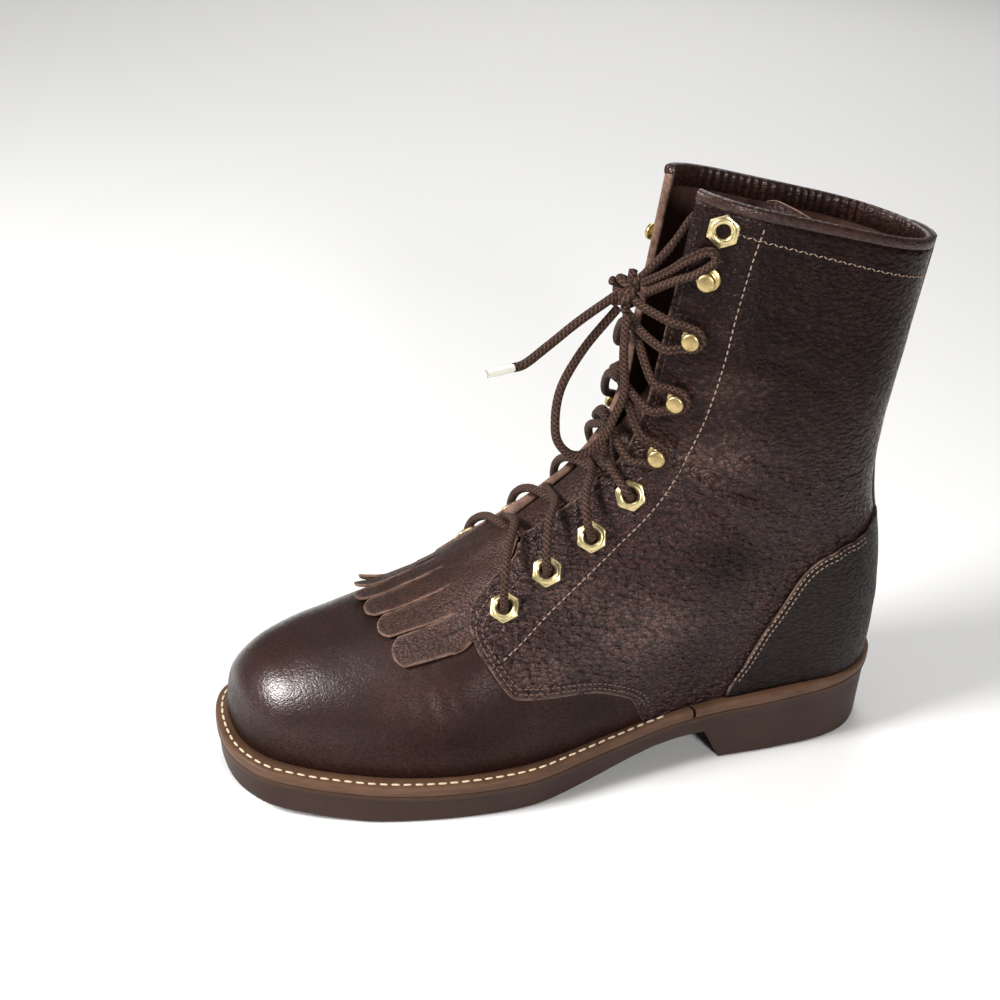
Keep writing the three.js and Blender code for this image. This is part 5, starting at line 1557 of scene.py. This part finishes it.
@dataclass
class Counter:
    """Counter: one overlay round the heel, from its outer front edge to its inner one."""

    rows: int = 70
    columns: int = 181
    foot: float = 4.8
    top: float = 0.42 * HEIGHT

    def build(self) -> None:
        """Sheet from the rand up to the counter's top, thinned towards its edges."""
        w = np.linspace(0, 1, self.rows)
        low = seat(0.0) + self.foot
        nominal = low + (self.top - seat(0.0) - self.foot) * (1 - (1 - w) ** 1.6)
        c = np.linspace(-1, 1, self.columns)
        depth = LENGTH * smooth_column(COUNTER_EDGE, 1, nominal / HEIGHT) + back_x(nominal)
        x = back_x(nominal)[:, None] - depth[:, None] * np.abs(c[None]) ** 1.7
        z = nominal[:, None] + (1 - w[:, None]) * (seat(x) - seat(0.0))
        x = np.minimum(x, back_x(z) - 1e-4 * (np.abs(c[None]) < 1e-6))
        outer, inner = (side_points(x, z, side) for side in Side)
        points = np.where((c < 0)[None, :, None], outer, inner)
        middle = self.columns // 2
        points[:, middle, 1] = 0
        points[:, middle, 0] = back_x(z[:, middle])
        normals = grid_normals(points)
        lift = both_reliefs(points, c) * 0.8
        edge = np.clip((1 - np.abs(c)) * 24, 0, 1)[None] * np.clip((1 - w) * 30, 0, 1)[:, None]
        height = STEP + 0.55 + OVERLAY * (0.55 + 0.45 * edge**0.5)
        top = points + normals * (lift + height)[..., None]
        bottom = points + normals * (lift + STEP - 0.2)[..., None]
        finish = paint("counter_leather", "counter_leather", "lining_leather")
        finish_piece(slab("counter", top, bottom, finish, bulge=0.25), ["counter"])


@dataclass
class Backstay:
    """Narrow stay over the back seam from the counter to the collar."""

    low: float = 0.405 * HEIGHT
    high: float = 0.905 * HEIGHT
    columns: int = 25

    def on_back(self, z: np.ndarray, y: np.ndarray) -> np.ndarray:
        """Points of the back at heights and distances to either side of the back line."""
        depths = np.linspace(0, 1, 60) ** 2 * 45
        out = []
        for height, row in zip(z, y):
            x = back_x(height) - depths
            found = []
            for side in Side:
                wide = np.abs(side_points(x, np.full_like(depths, height), side)[:, 1])
                wide[0] = 0
                found.append(np.interp(np.abs(row), np.maximum.accumulate(wide), x))
            out.append(np.column_stack([np.where(row < 0, *found), row, np.full_like(row, height)]))
        return np.stack(out)

    def build(self) -> None:
        """Strip with thinned edges."""
        z = np.linspace(self.low, self.high, 90)
        c = np.linspace(-1, 1, self.columns)
        half = BALL_HALF * smooth_column(BACKSTAY, 1, z / HEIGHT)
        points = self.on_back(z, half[:, None] * c[None])
        normals = grid_normals(points)
        edge = np.clip((1 - np.abs(c)) * 8, 0, 1)[None]
        lift = STEP + 0.35 + OVERLAY * (0.6 + 0.4 * edge) + 0 * z[:, None]
        top = points + normals * lift[..., None]
        finish = paint("upper_leather", "binding_leather", "lining_leather")
        made = slab("backstay", top, points + normals * (STEP - 0.2), finish, bulge=0.2)
        finish_piece(made, ["backstay"])


@dataclass
class Binding:
    """Rolled binding over the collar's edge with small gathers on its inner face."""

    count: int = 760
    sides: int = 28
    half: float = 2.35
    gather: float = 0.34
    inner_depth: float = 6.0

    def path(self) -> tuple[np.ndarray, np.ndarray]:
        """Middle of the collar's edge from the outer front corner round to the inner one, and up."""
        t = eased(np.linspace(0, 1, self.count // 2))
        rim = np.array(RIM_ROW)
        parts = []
        for side in Side:
            start = float(share_across(rim, np.array(side * BALL_HALF * THROAT[-1, 1])))
            parts.append(skin(np.full_like(t, RIM_ROW), side, start + (1 - start) * t))
        path = spread(np.vstack([parts[0], parts[1][::-1][1:]]), self.count)
        middle = np.array(0.5)
        return path, unit(skin(np.array(RIM_ROW + 0.2), OUTER, middle) - skin(rim, OUTER, middle))

    def build(self) -> None:
        """Squared tube along the collar; its inner face hangs lower and is gathered by two waves."""
        path, up = self.path()
        out = unit(np.cross(unit(np.gradient(path, axis=0)), up))
        if (out * (path - path.mean(0))).sum() < 0:
            out = -out
        angle = np.linspace(0, 2 * np.pi, self.sides, endpoint=False)
        run = run_length(path)
        gather = self.gather * np.sin(run / 0.62 + 0.9 * np.sin(run / 5.1))
        gather = gather * (0.65 + 0.35 * np.sin(run / 3.7))
        wide, tall = (np.sign(v) * np.abs(v) ** 0.72 for v in (np.cos(angle), np.sin(angle)))
        inner_face = np.clip(-np.cos(angle), 0, 1)[None]
        across = self.half * wide[None] - gather[:, None] * inner_face
        high = self.half + self.half * tall[None] - 0.35 + 0.1 * gather[:, None]
        high = high - self.inner_depth * inner_face * (np.sin(angle) < 0)[None]
        middle = path + out * ((STEP - WALL) / 2)
        points = (middle[:, None] + out[:, None] * across[..., None] + up * high[..., None]).reshape(-1, 3)
        quads = grid_quads(self.count, self.sides, True)
        if faces_inwards(points, quads, np.repeat(middle + up * 2.0, self.sides, 0)[quads[:, 0]]):
            quads = quads[:, ::-1]
        last = (self.count - 1) * self.sides
        faces = [tuple(quad) for quad in quads.tolist()]
        faces += [tuple(range(self.sides)), tuple(range(last, last + self.sides))[::-1]]
        made = make_object("collar_binding", points, faces, paint("binding_leather"))
        finish_piece(made, ["collar_binding"])


@dataclass
class Tongue:
    """Tongue: under the throat on the instep, fallen back inside the shaft above it."""

    low: float = 6.3
    high: float = 19.85
    columns: int = 33

    def build(self) -> None:
        """Sheet that leaves the ridge along its section lines and drops at its far top corner."""
        rows = np.linspace(self.low, self.high, 120)
        row, u = rows[:, None], np.linspace(-1, 1, self.columns)[None]
        half = BALL_HALF * np.where(rows < 8, 0.3 + 0.02 * (rows - 6), 0.34 + 0.002 * (rows - 8))
        r = section(rows)
        way = unit(np.stack([r[:, 2] - r[:, 0], 0 * rows, r[:, 3] - r[:, 1]], 1))
        fall = np.clip((row - 10.5) / 9.5, 0, 1.1)
        depth = 0.15 * LENGTH * fall**1.3 - 0.026 * LENGTH * u * fall**2
        point, normal, _ = on_ridge(row, u * half[:, None])
        flat = climb(row, 10, 5) * 3 * u**2
        wave = np.sin(u * 2.6 + row * 0.8) * climb(row, 14, 5)
        point = point + way[:, None] * (depth + flat + wave)[..., None]
        point[..., 1] += 0.06 * BALL_HALF * fall
        corner = 4.0 * np.abs(u) ** 3 + 10.0 * np.clip(u + 0.1, 0, 1) ** 1.3
        point[..., 2] -= climb(row, 18.4, 1.45) * corner
        normals = grid_normals(point)
        if normals[40, 16] @ normal[40, 16] < 0:
            normals = -normals
        top = point - normals * (WALL + GAP * 2.5)
        finish = paint("tongue_leather", "raw_edge", "tongue_suede")
        made = slab("tongue", top, top - normals * (TONGUE - 0.4), finish, bulge=0.4)
        finish_piece(made, ["tongue"])


@dataclass
class Kiltie:
    """Fringed flap: strips with rounded points joined at their roots, and its upper tab."""

    root: float = 5.85
    width: float = 0.70
    tips: tuple = (4.80, 4.64, 4.50, 4.42, 4.52, 4.72)
    curls: tuple = (0.4, 0.5, 0.8, 1.4, 3.2, 4.6)
    slits: tuple = (  # share of the half width, first row, last row
        (-0.60, 5.72, 6.22), (-0.38, 5.80, 6.35), (-0.15, 5.72, 6.30), (0.08, 5.60, 6.10), (0.31, 5.66, 6.20),
        (0.52, 5.80, 6.30),
    )

    def narrow(self, row: np.ndarray) -> np.ndarray:
        """How the flap draws in under the quarters, as a share of its width."""
        return 1 - 0.10 * climb(row, 6.1, 0.6) - 0.55 * climb(row, 6.6, 1.1) ** 1.2

    def strip(self, k: int) -> tuple[np.ndarray, np.ndarray]:
        """Top and bottom of one strip, from its point up under the body; its tip curls up."""
        t = np.linspace(0, 1, 46)[:, None]
        c = np.linspace(0, 1, 13)[None]
        point = self.tips[k] + 0.17 * np.abs(2 * c - 1) ** 2.6
        row = point + (6.75 - point) * (0.6 * t + 0.4 * t**1.4)
        gap = 0.35 * climb(self.root - row, 0, 1.0) ** 0.8 + 0.12 * (row < self.root)
        low, high = (2 * j / len(self.tips) - 1 for j in (k, k + 1))
        inset = gap / 9.0
        share = self.width * (low + (high - low) * (inset + (1 - 2 * inset) * c))
        spot, normal, _ = on_ridge(row, reach(row, share * self.narrow(row)))
        tip = climb(self.tips[k] + 0.55 - row, 0, 0.55) ** 2
        under = climb(row, 6.15, 0.35) * np.clip(np.abs(share) / 0.3, 0, 1)
        edge = np.abs(2 * c - 1) ** 3 * climb(self.root - row, 0, 0.9)
        wave = 0.25 * np.sin(row * 5.0 + k * 1.7) * (1 - under) * 0.6
        lift = (0.35 + self.curls[k] * tip + 0.5 * edge + wave) * (1 - 0.8 * under)
        return spot + normal * (lift + 1.35 - 0.35 * under)[..., None], spot + normal * lift[..., None]

    def body(self) -> tuple[np.ndarray, np.ndarray]:
        """Top and bottom of the sheet over the strips' roots, with shallow folds."""
        c = np.linspace(-1, 1, 91)[None]
        row = np.linspace(5.86, 7.75, 60)[:, None] + 0 * c
        share = self.width * c * self.narrow(row)
        spot, normal, _ = on_ridge(row, reach(row, share))
        folds = 0.35 * np.sin(share * 19 + row * 2.2) * climb(row, 6.3, 0.5)
        cover = 1.15 + 0.75 * climb(row, 5.86, 0.3) - 0.4 * climb(np.abs(share), 0.5, 0.15)
        return spot + normal * (cover + folds)[..., None], spot + normal * (cover + folds - 0.9)[..., None]

    def build(self) -> None:
        """Strips, body and thin dark tubes painted as the shade in the cuts between the roots, staggered with
        the strips.
        """
        sheets = [self.strip(k) for k in range(len(self.tips))] + [self.body()]
        tops, bottoms = (list(part) for part in zip(*sheets))
        worn = [(grid[..., 0] < -0.655 * LENGTH).ravel() * 1.0 for grid in tops[:-1]]
        worn.append(np.zeros(tops[-1][..., 0].size))
        made = slab("kiltie", tops, bottoms, paint("kiltie_leather", "raw_edge", "raw_edge"), bulge=0.15,
                    worn=np.concatenate(worn))
        finish_piece(made, ["kiltie"])
        # Painted shade: dark tubes along the cuts between the strips' roots.
        paths = []
        for share, low, high in self.slits:
            row = np.linspace(low, high, 12)
            point, normal, _ = on_ridge(row, reach(row, np.full_like(row, share * 0.97)))
            paths.append(point + normal * 1.66)
        made = tube_object("kiltie_cut_shade", paths, 0.3, MATERIALS["painted_hole_shade"], 6, 0.6)
        finish_piece(made)


# Hardware and laces.


def edge_frame(row: float, across: float, lift: float) -> np.ndarray:
    """Frame on the leather at a row and a signed share of the half width: x across, z outwards."""
    point, normal, up = on_ridge(np.array(row), reach(np.array(row), np.array(across)))
    side = unit(np.cross(up, normal))
    m = np.eye(4)
    m[:3, :3] = np.stack([side, np.cross(normal, side), normal], 1)
    m[:3, 3] = point + normal * (STEP + lift + front_lift(point[0]))
    return m


@dataclass
class Hardware:
    """Brass hexagonal eyelets and ball-headed speed hooks on both edges."""

    sides: int = 48
    flat_cut: float = 0.985
    eyelet: tuple = (  # radius, height, share of the hexagon
        (7.0, 0.0, 1), (7.0, 0.7, 1), (6.75, 1.05, 1), (6.2, 1.2, 0.9), (5.5, 1.25, 0.4), (5.1, 1.5, 0),
        (4.6, 1.8, 0), (4.0, 1.85, 0), (3.4, 1.65, 0), (2.95, 1.2, 0), (2.75, 0.4, 0), (2.75, -1.6, 0),
    )
    # Dark disc painted as the shade inside the hole: radius, height.
    hole_shade_profile: tuple = ((0, -1.5), (2.8, -1.5), (2.8, -0.2), (0, -0.1))
    hook: tuple = (  # radius, height
        (0, -0.3), (5.0, -0.3), (5.0, 0.25), (4.6, 0.6), (3.2, 0.75), (2.2, 1.1), (1.8, 1.9), (1.7, 4.6),
        (2.1, 5.0), (3.1, 5.1), (3.5, 5.35), (3.65, 5.8), (3.65, 6.5), (3.45, 6.95), (2.95, 7.2), (1.6, 7.35),
        (0, 7.4),
    )

    def ring(self) -> tuple[np.ndarray, list]:
        """Hexagonal ring with a rolled inner lip."""
        angle = np.linspace(0, 2 * np.pi, self.sides, endpoint=False)
        part = (angle + np.pi / 6) % (np.pi / 3) - np.pi / 6
        hexagon = np.minimum(1 / np.cos(part) * np.cos(np.pi / 6), self.flat_cut)
        rings = []
        for radius, height, share in self.eyelet:
            r = radius * (share * hexagon + (1 - share))
            rings.append(np.stack([r * np.cos(angle), r * np.sin(angle), np.full(self.sides, height)], 1))
        quads = grid_quads(len(self.eyelet), self.sides, True)
        return np.vstack(rings), [tuple(quad[::-1]) for quad in quads.tolist()]

    def place(self, name: str, shape: tuple, spots: np.ndarray, lift: float, material: str,
              word: str = "") -> None:
        """One fitting repeated on both edges.

        Args:
            name: Object name.
            shape: Points and faces of one fitting.
            spots: Row and share of the half width of each pair.
            lift: Millimetres over the quarter.
            material: Material name.
            word: First word of the solids that it dresses, or nothing.
        """
        frames = [edge_frame(row, side * share, lift) for row, share in spots for side in Side]
        points, faces = repeat(*shape, frames)
        made = make_object(name, points, faces, paint(material))
        nodes = [f"{word}_{side.name.lower()}_{k + 1}" for side in Side for k in range(len(spots)) if word]
        finish_piece(made, nodes)

    def build(self) -> None:
        """Rings, dark discs painted as the shade in their holes, and hooks."""
        self.place("eyelets", self.ring(), EYELETS, 0.1, "brass", "eyelet")
        # Dark discs painted as the shade inside the eyelet holes.
        self.place("eyelet_shade_discs", lathe_points(self.hole_shade_profile, 24), EYELETS, 0.1, "painted_hole_shade")
        self.place("hooks", lathe_points(self.hook, 32), HOOKS, GAP, "hook_brass", "hook")


class FarEnd(Enum):
    """How a free run of lace ends."""

    OBJECT = "object"
    FITTING = "fitting"
    BARE = "bare"


KNOT = np.array([-137.0, -2.0, 215.0])
NEAR_EYELET_RUNS = (
    ((-190, -33, 104), (-186, -22, 110), (-179, -6, 114)),
    ((-172, -31, 112), (-169, -22, 122), (-163, -10, 124)),
    ((-155, -29, 125), (-153, -20, 133), (-147, -8, 137)),
    ((-139, -27, 137), (-142, -18, 142), (-142, -8, 146)),
)
LONG_LOOP = (
    (-141, -5, 208), (-156, -9, 192), (-165, -12, 177), (-167, -14, 164), (-165, -14, 154), (-159, -14, 148),
    (-153, -14, 148), (-146, -14, 154), (-142, -14, 163), (-138, -13, 174), (-139, -11, 191), (-138, -8, 207),
)
LONG_END = ((-143, -5, 213), (-159, -10, 205), (-173, -15, 197), (-184, -20, 192), (-188, -21, 191.5))
AGLET = ((-187.5, -21, 191.6), (-193, -22.5, 191.2), (-200, -24, 190.7))
SHORT_LOOP = (
    (-132, -7, 219), (-126, -17, 227), (-121, -25, 235), (-114, -29, 239), (-112, -30, 236), (-118, -28, 230),
    (-125, -22, 225), (-132, -12, 217),
)
SHORT_END = ((-132, -4, 220), (-125, -5, 228), (-118, -5, 237), (-113, -4, 244), (-108, -4, 248))
# Wraps of the knot: tilt, radius and shift of each ring; then the strands through it.
KNOT_WRAPS = ((0.35, 4.3, (0, 0, 0.6)), (0.75, 4.6, (-0.8, -0.6, -1.4)), (-0.5, 4.0, (0.6, 0.4, 2.0)))
KNOT_STRANDS = (
    ((-6.5, -3, -5), (0, -3.5, 0.5), (6, -1, 5.5)), ((-6, 2, 3), (0, 3, 0), (5, -4, -5.5)),
    ((-1, -4, -7), (0.6, -2, 0), (3, 2, 7)),
)


@dataclass
class Lacing:
    """Braided lace through the eyelets and round the hooks, with a bow over the throat."""

    low_pairs: int = 4
    hook_pairs: int = 3

    def cord(self, name: str, paths: list) -> bpy.types.Object:
        """Lace along paths, dressing the solid of the same name."""
        made = tube_object(name, paths, LACE_RADIUS, MATERIALS["lace_cord"])
        return finish_piece(made, [name])

    def over(self, row: float, across: float, lift: float) -> np.ndarray:
        """Point above the leather at a row, a distance across the ridge and a height."""
        point, normal, _ = on_ridge(np.array(row), np.array(float(across)))
        return point + normal * lift

    def crossing(self, k: int, side: int) -> np.ndarray:
        """Run from one lower eyelet over its edge and down under the other."""
        row, share = EYELETS[k]
        following = EYELETS[k + 1, 0] if k < self.low_pairs - 1 else HOOKS[0, 0]
        middle = row + 0.58 * (following - row)
        out = float(reach(np.array(row), np.array(side * share)))
        run = [self.over(row, out, -1.0), self.over(row, out, STEP + 2.6)]
        if side == OUTER:
            run += NEAR_EYELET_RUNS[k]
        else:
            run += [
                self.over(row + 0.12, out * 0.86, STEP + 4.6), self.over(row + 0.32, out * 0.5, 4.2),
                self.over(row + 0.5 * (middle - row) + 0.1, out * 0.12, 2.2),
            ]
        edge = float(throat_half(np.array(middle)))
        if k < self.low_pairs - 1:
            run.append(self.over(middle, -side * edge * 0.72, -1.0))
            run.append(self.over(middle + 0.3, -side * (edge + 2.0), -5.4))
        else:
            run.append(self.over(middle, -side * 4.0, 1.5))
        return smooth_line(np.array(run), 70)

    def beside(self, k: int, side: int, outwards: float, upwards: float, lift: float) -> np.ndarray:
        """Point beside a hook."""
        row, share = HOOKS[k]
        point, normal, up = on_ridge(np.array(row), reach(np.array(row), np.array(side * share)))
        away = unit(np.cross(up, normal))
        away = away if away[1] * side > 0 else -away
        return point + away * outwards + up * upwards + normal * lift

    def hook_run(self, k: int, side: int) -> np.ndarray:
        """Run from the middle round the neck of one hook and back, the last one into the knot."""
        row = HOOKS[k, 0]
        before = (EYELETS[3, 0] + 1.05) if k == 0 else (HOOKS[k - 1, 0] + row) / 2
        after = (row + HOOKS[k + 1, 0]) / 2
        lift = STEP + 2.6
        tilt = 1.0 if side == OUTER else -1.0
        round_neck = (
            (-9.5, -6.4, lift + 1.6), (-3.5, -4.8, lift + 0.5), (2.4, -3.0, lift), (3.9, 0.2, lift),
            (2.2, 3.2, lift), (-3.5, 4.6, lift + 0.5), (-9.5, 5.4, lift + 1.8),
        )
        run = [self.over(before, -side * 3.0, 3.4 + tilt), self.over(before + 0.1, side * 4.0, 4.4 + tilt)]
        run += [self.beside(k, side, *spot) for spot in round_neck]
        if k == self.hook_pairs - 1:
            run += [KNOT + [2.0, side * 6.0, -3.0], KNOT + [0.0, side * 1.0, 0.0]]
        else:
            run += [self.over(after - 0.1, side * 4.0, 4.8 - tilt), self.over(after, -side * 3.0, 4.0 - tilt)]
        return smooth_line(np.array(run), 90)

    def crossings(self) -> None:
        """Runs between the lower eyelets and round the hooks; those past the last pair are one piece."""
        last = self.low_pairs - 1
        for k in range(last):
            self.cord(f"lace_cross_{k + 1}", [self.crossing(k, side) for side in Side])
        paths = [self.crossing(last, side) for side in Side]
        paths += [self.hook_run(k, side) for side in Side for k in range(self.hook_pairs)]
        made = tube_object("lace_hook_runs", paths, LACE_RADIUS, MATERIALS["lace_cord"])
        finish_piece(made, ["lace_cross_4"])

    def knot(self) -> None:
        """Knot: three wraps of lace round a core of crossed strands."""
        t = np.linspace(0, 2 * np.pi, 60)
        paths = []
        for tilt, radius, shift in KNOT_WRAPS:
            x, y = radius * np.cos(t) * 0.92, radius * np.sin(t) * 1.05
            turned = np.stack([x * math.cos(tilt), y, x * math.sin(tilt)], 1)
            paths.append(KNOT + np.array(shift) + turned)
        paths += [smooth_line(KNOT + np.array(points, float), 20) for points in KNOT_STRANDS]
        self.cord("lace_knot", paths)

    def free(self, name: str, points: Sequence, count: int, far_end: FarEnd, with_pieces: tuple = ()) -> None:
        """One free run of lace as a tube along a smooth line.

        Args:
            name: Object name.
            points: Points that the run passes.
            count: Points along the smooth run.
            far_end: What the run ends in; not used.
            with_pieces: Pieces meant to go with its far end; not used.
        """
        path = smooth_line(points, count)
        made = self.cord(name, [path])
        metres(path[0]).tolist()
        metres(path).tolist()

    def build(self) -> None:
        """Crossings, knot, loops and ends."""
        self.crossings()
        self.knot()
        made = tube_object("aglet", [smooth_line(AGLET, 16)], LACE * 0.4, MATERIALS["aglet_plastic"])
        aglet = finish_piece(made, ["aglet"])
        self.free("lace_loop_long", LONG_LOOP, 150, FarEnd.OBJECT)
        self.free("lace_loop_short", SHORT_LOOP, 80, FarEnd.OBJECT)
        self.free("lace_end_long", LONG_END, 50, FarEnd.FITTING, (aglet,))
        self.free("lace_end_short", SHORT_END, 40, FarEnd.BARE)


# Seams.


@dataclass(frozen=True)
class Stitching:
    """How one kind of seam is sewn."""

    pitch: float
    width: float
    thread: str
    fill: float
    lean: float = 0.0


STITCHINGS = {
    "eyestay": Stitching(2.9, 0.62, "thread_tan", 0.68),
    "quarter": Stitching(2.5, 0.6, "thread_brown", 0.7),
    "throat": Stitching(2.4, 0.55, "thread_dark", 0.7),
    "counter": Stitching(2.5, 0.58, "thread_tan", 0.66),
    "collar": Stitching(2.3, 0.55, "thread_tan", 0.8, 24.0),
}


@dataclass
class Seams:
    """Rows of stitches laid on the leather."""

    step: float = 0.8
    eyestay_points: tuple = (
        (-93, 248), (-96, 236), (-98, 226), (-101, 210), (-103, 196), (-106, 178), (-110, 161), (-117, 141),
        (-126, 126), (-143, 109), (-157, 97), (-171, 86), (-184, 75), (-192, 69),
    )

    def lay(self, kind: str, rows: Sequence[tuple]) -> None:
        """Stitches of one kind along lines of (points, normals, lift above the skin)."""
        sewn = STITCHINGS[kind]
        frames = []
        for line, normal, lift in rows:
            frames += stitch_row(line + normal * lift, normal, sewn.pitch, sewn.fill, sewn.width, sewn.lean)
        points, faces = repeat(*stitch_form(1.0, 1.0, 0.8), frames)
        finish_piece(make_object(f"{kind}_stitches", points, faces, paint(sewn.thread)))

    def side_line(self, points: Sequence, side: int, count: int) -> tuple[np.ndarray, np.ndarray]:
        """Line on one side from side-view points (x, z), with its normals."""
        flat = smooth_line(np.column_stack([np.asarray(points, float), np.zeros(len(points))]), count)[:, :2]
        x, z = flat[:, 0], flat[:, 1]
        line = side_points(x, z, side)
        dx = side_points(x + self.step, z, side) - side_points(x - self.step, z, side)
        dz = side_points(x, z + self.step, side) - side_points(x, z - self.step, side)
        normal = facing(unit(np.cross(dz, dx)) * side, side)
        return line + normal * relief(line, side)[:, None], normal

    def skin_line(self, row: np.ndarray, side: int, share: np.ndarray, step: float) -> tuple:
        """Line on the bare skin at rows and shares, with its normals."""
        line = skin(row, side, share)
        ahead, up = skin(row, side, share + step) - line, skin(row + 0.05, side, share) - line
        return line, facing(unit(np.cross(ahead, up)), side)

    def eyestay(self, side: int) -> list:
        """Row beside the eyelets and hooks."""
        line, normal = self.side_line(self.eyestay_points, side, 500)
        return [(line, normal, STEP + 0.12 + front_lift(line[:, :1]))]

    def quarter(self, side: int) -> list:
        """Two rows along the quarter's lower front edge."""
        rows = []
        for inset in (2.4, 4.6):
            edge = shrink(QUARTER_LINE, inset)[6:172]
            good = (edge[:, 1] > seat(edge[:, 0]) + 6.5) & (edge[:, 1] < 0.375 * HEIGHT)
            line, normal = self.side_line(edge[good][::4], side, 400)
            rows.append((line, normal, STEP + 0.15 + front_lift(line[:, :1])))
        return rows

    def throat(self, side: int) -> list:
        """Row along the throat's edge."""
        row = np.linspace(8.0, 19.2, 500)
        share = smooth_shares(quarter_span(row, side, 2.6)[0])
        line, normal = self.skin_line(row, side, share, 0.006)
        lift = STEP + 0.15 + front_lift(line[:, :1])
        return [(line + normal * relief(line, side)[:, None], normal, lift)]

    def counter(self, side: int) -> list:
        """Two rows along the counter's front edge."""
        rows = []
        for inset in (2.0, 4.4):
            z = np.linspace(0.160, 0.4185, 60) * HEIGHT
            flat = np.column_stack([-LENGTH * smooth_column(COUNTER_EDGE, 1, z / HEIGHT), z])
            way = unit(np.gradient(flat, axis=0))
            flat = flat + np.column_stack([way[:, 1], -way[:, 0]]) * inset
            flat = flat[(flat[:, 0] < back_x(flat[:, 1]) - 6) & (flat[:, 1] > seat(flat[:, 0]) + 6)]
            line, normal = self.side_line(flat[::3], side, 400)
            rows.append((line, normal, STEP + 0.6 + OVERLAY))
        return rows

    def collar(self, side: int) -> list:
        """Slanted row under the collar's binding."""
        share = np.linspace(0.14, 0.97, 260)
        line, normal = self.skin_line(np.full_like(share, RIM_ROW - 0.36), side, share, 0.004)
        return [(line, normal, STEP + 0.15)]

    def build(self) -> None:
        """All seams of the upper, on both sides."""
        seams = {
            "eyestay": self.eyestay, "quarter": self.quarter, "throat": self.throat,
            "counter": self.counter, "collar": self.collar,
        }
        for kind, rows_of in seams.items():
            self.lay(kind, [row for side in Side for row in rows_of(side)])


# Scene.


def main() -> None:
    """Builds the scene in order."""
    logging.basicConfig(level=logging.INFO, format="%(message)s")
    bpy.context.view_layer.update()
    groups = {"pebble": pebble_group(), "mottle": mottle_group()}
    for finish in FINISHES:
        MATERIALS[finish.name] = finish.build(groups)
    studio = Studio()
    studio.camera()
    Lacing().build()
    studio.build()
    Sole().build()
    for part in (Vamp(), Quarters(), Counter(), Backstay(), Binding(), Tongue(), Kiltie()):
        part.build()
    Hardware().build()
    Seams().build()


if __name__ == "__main__":
    main()
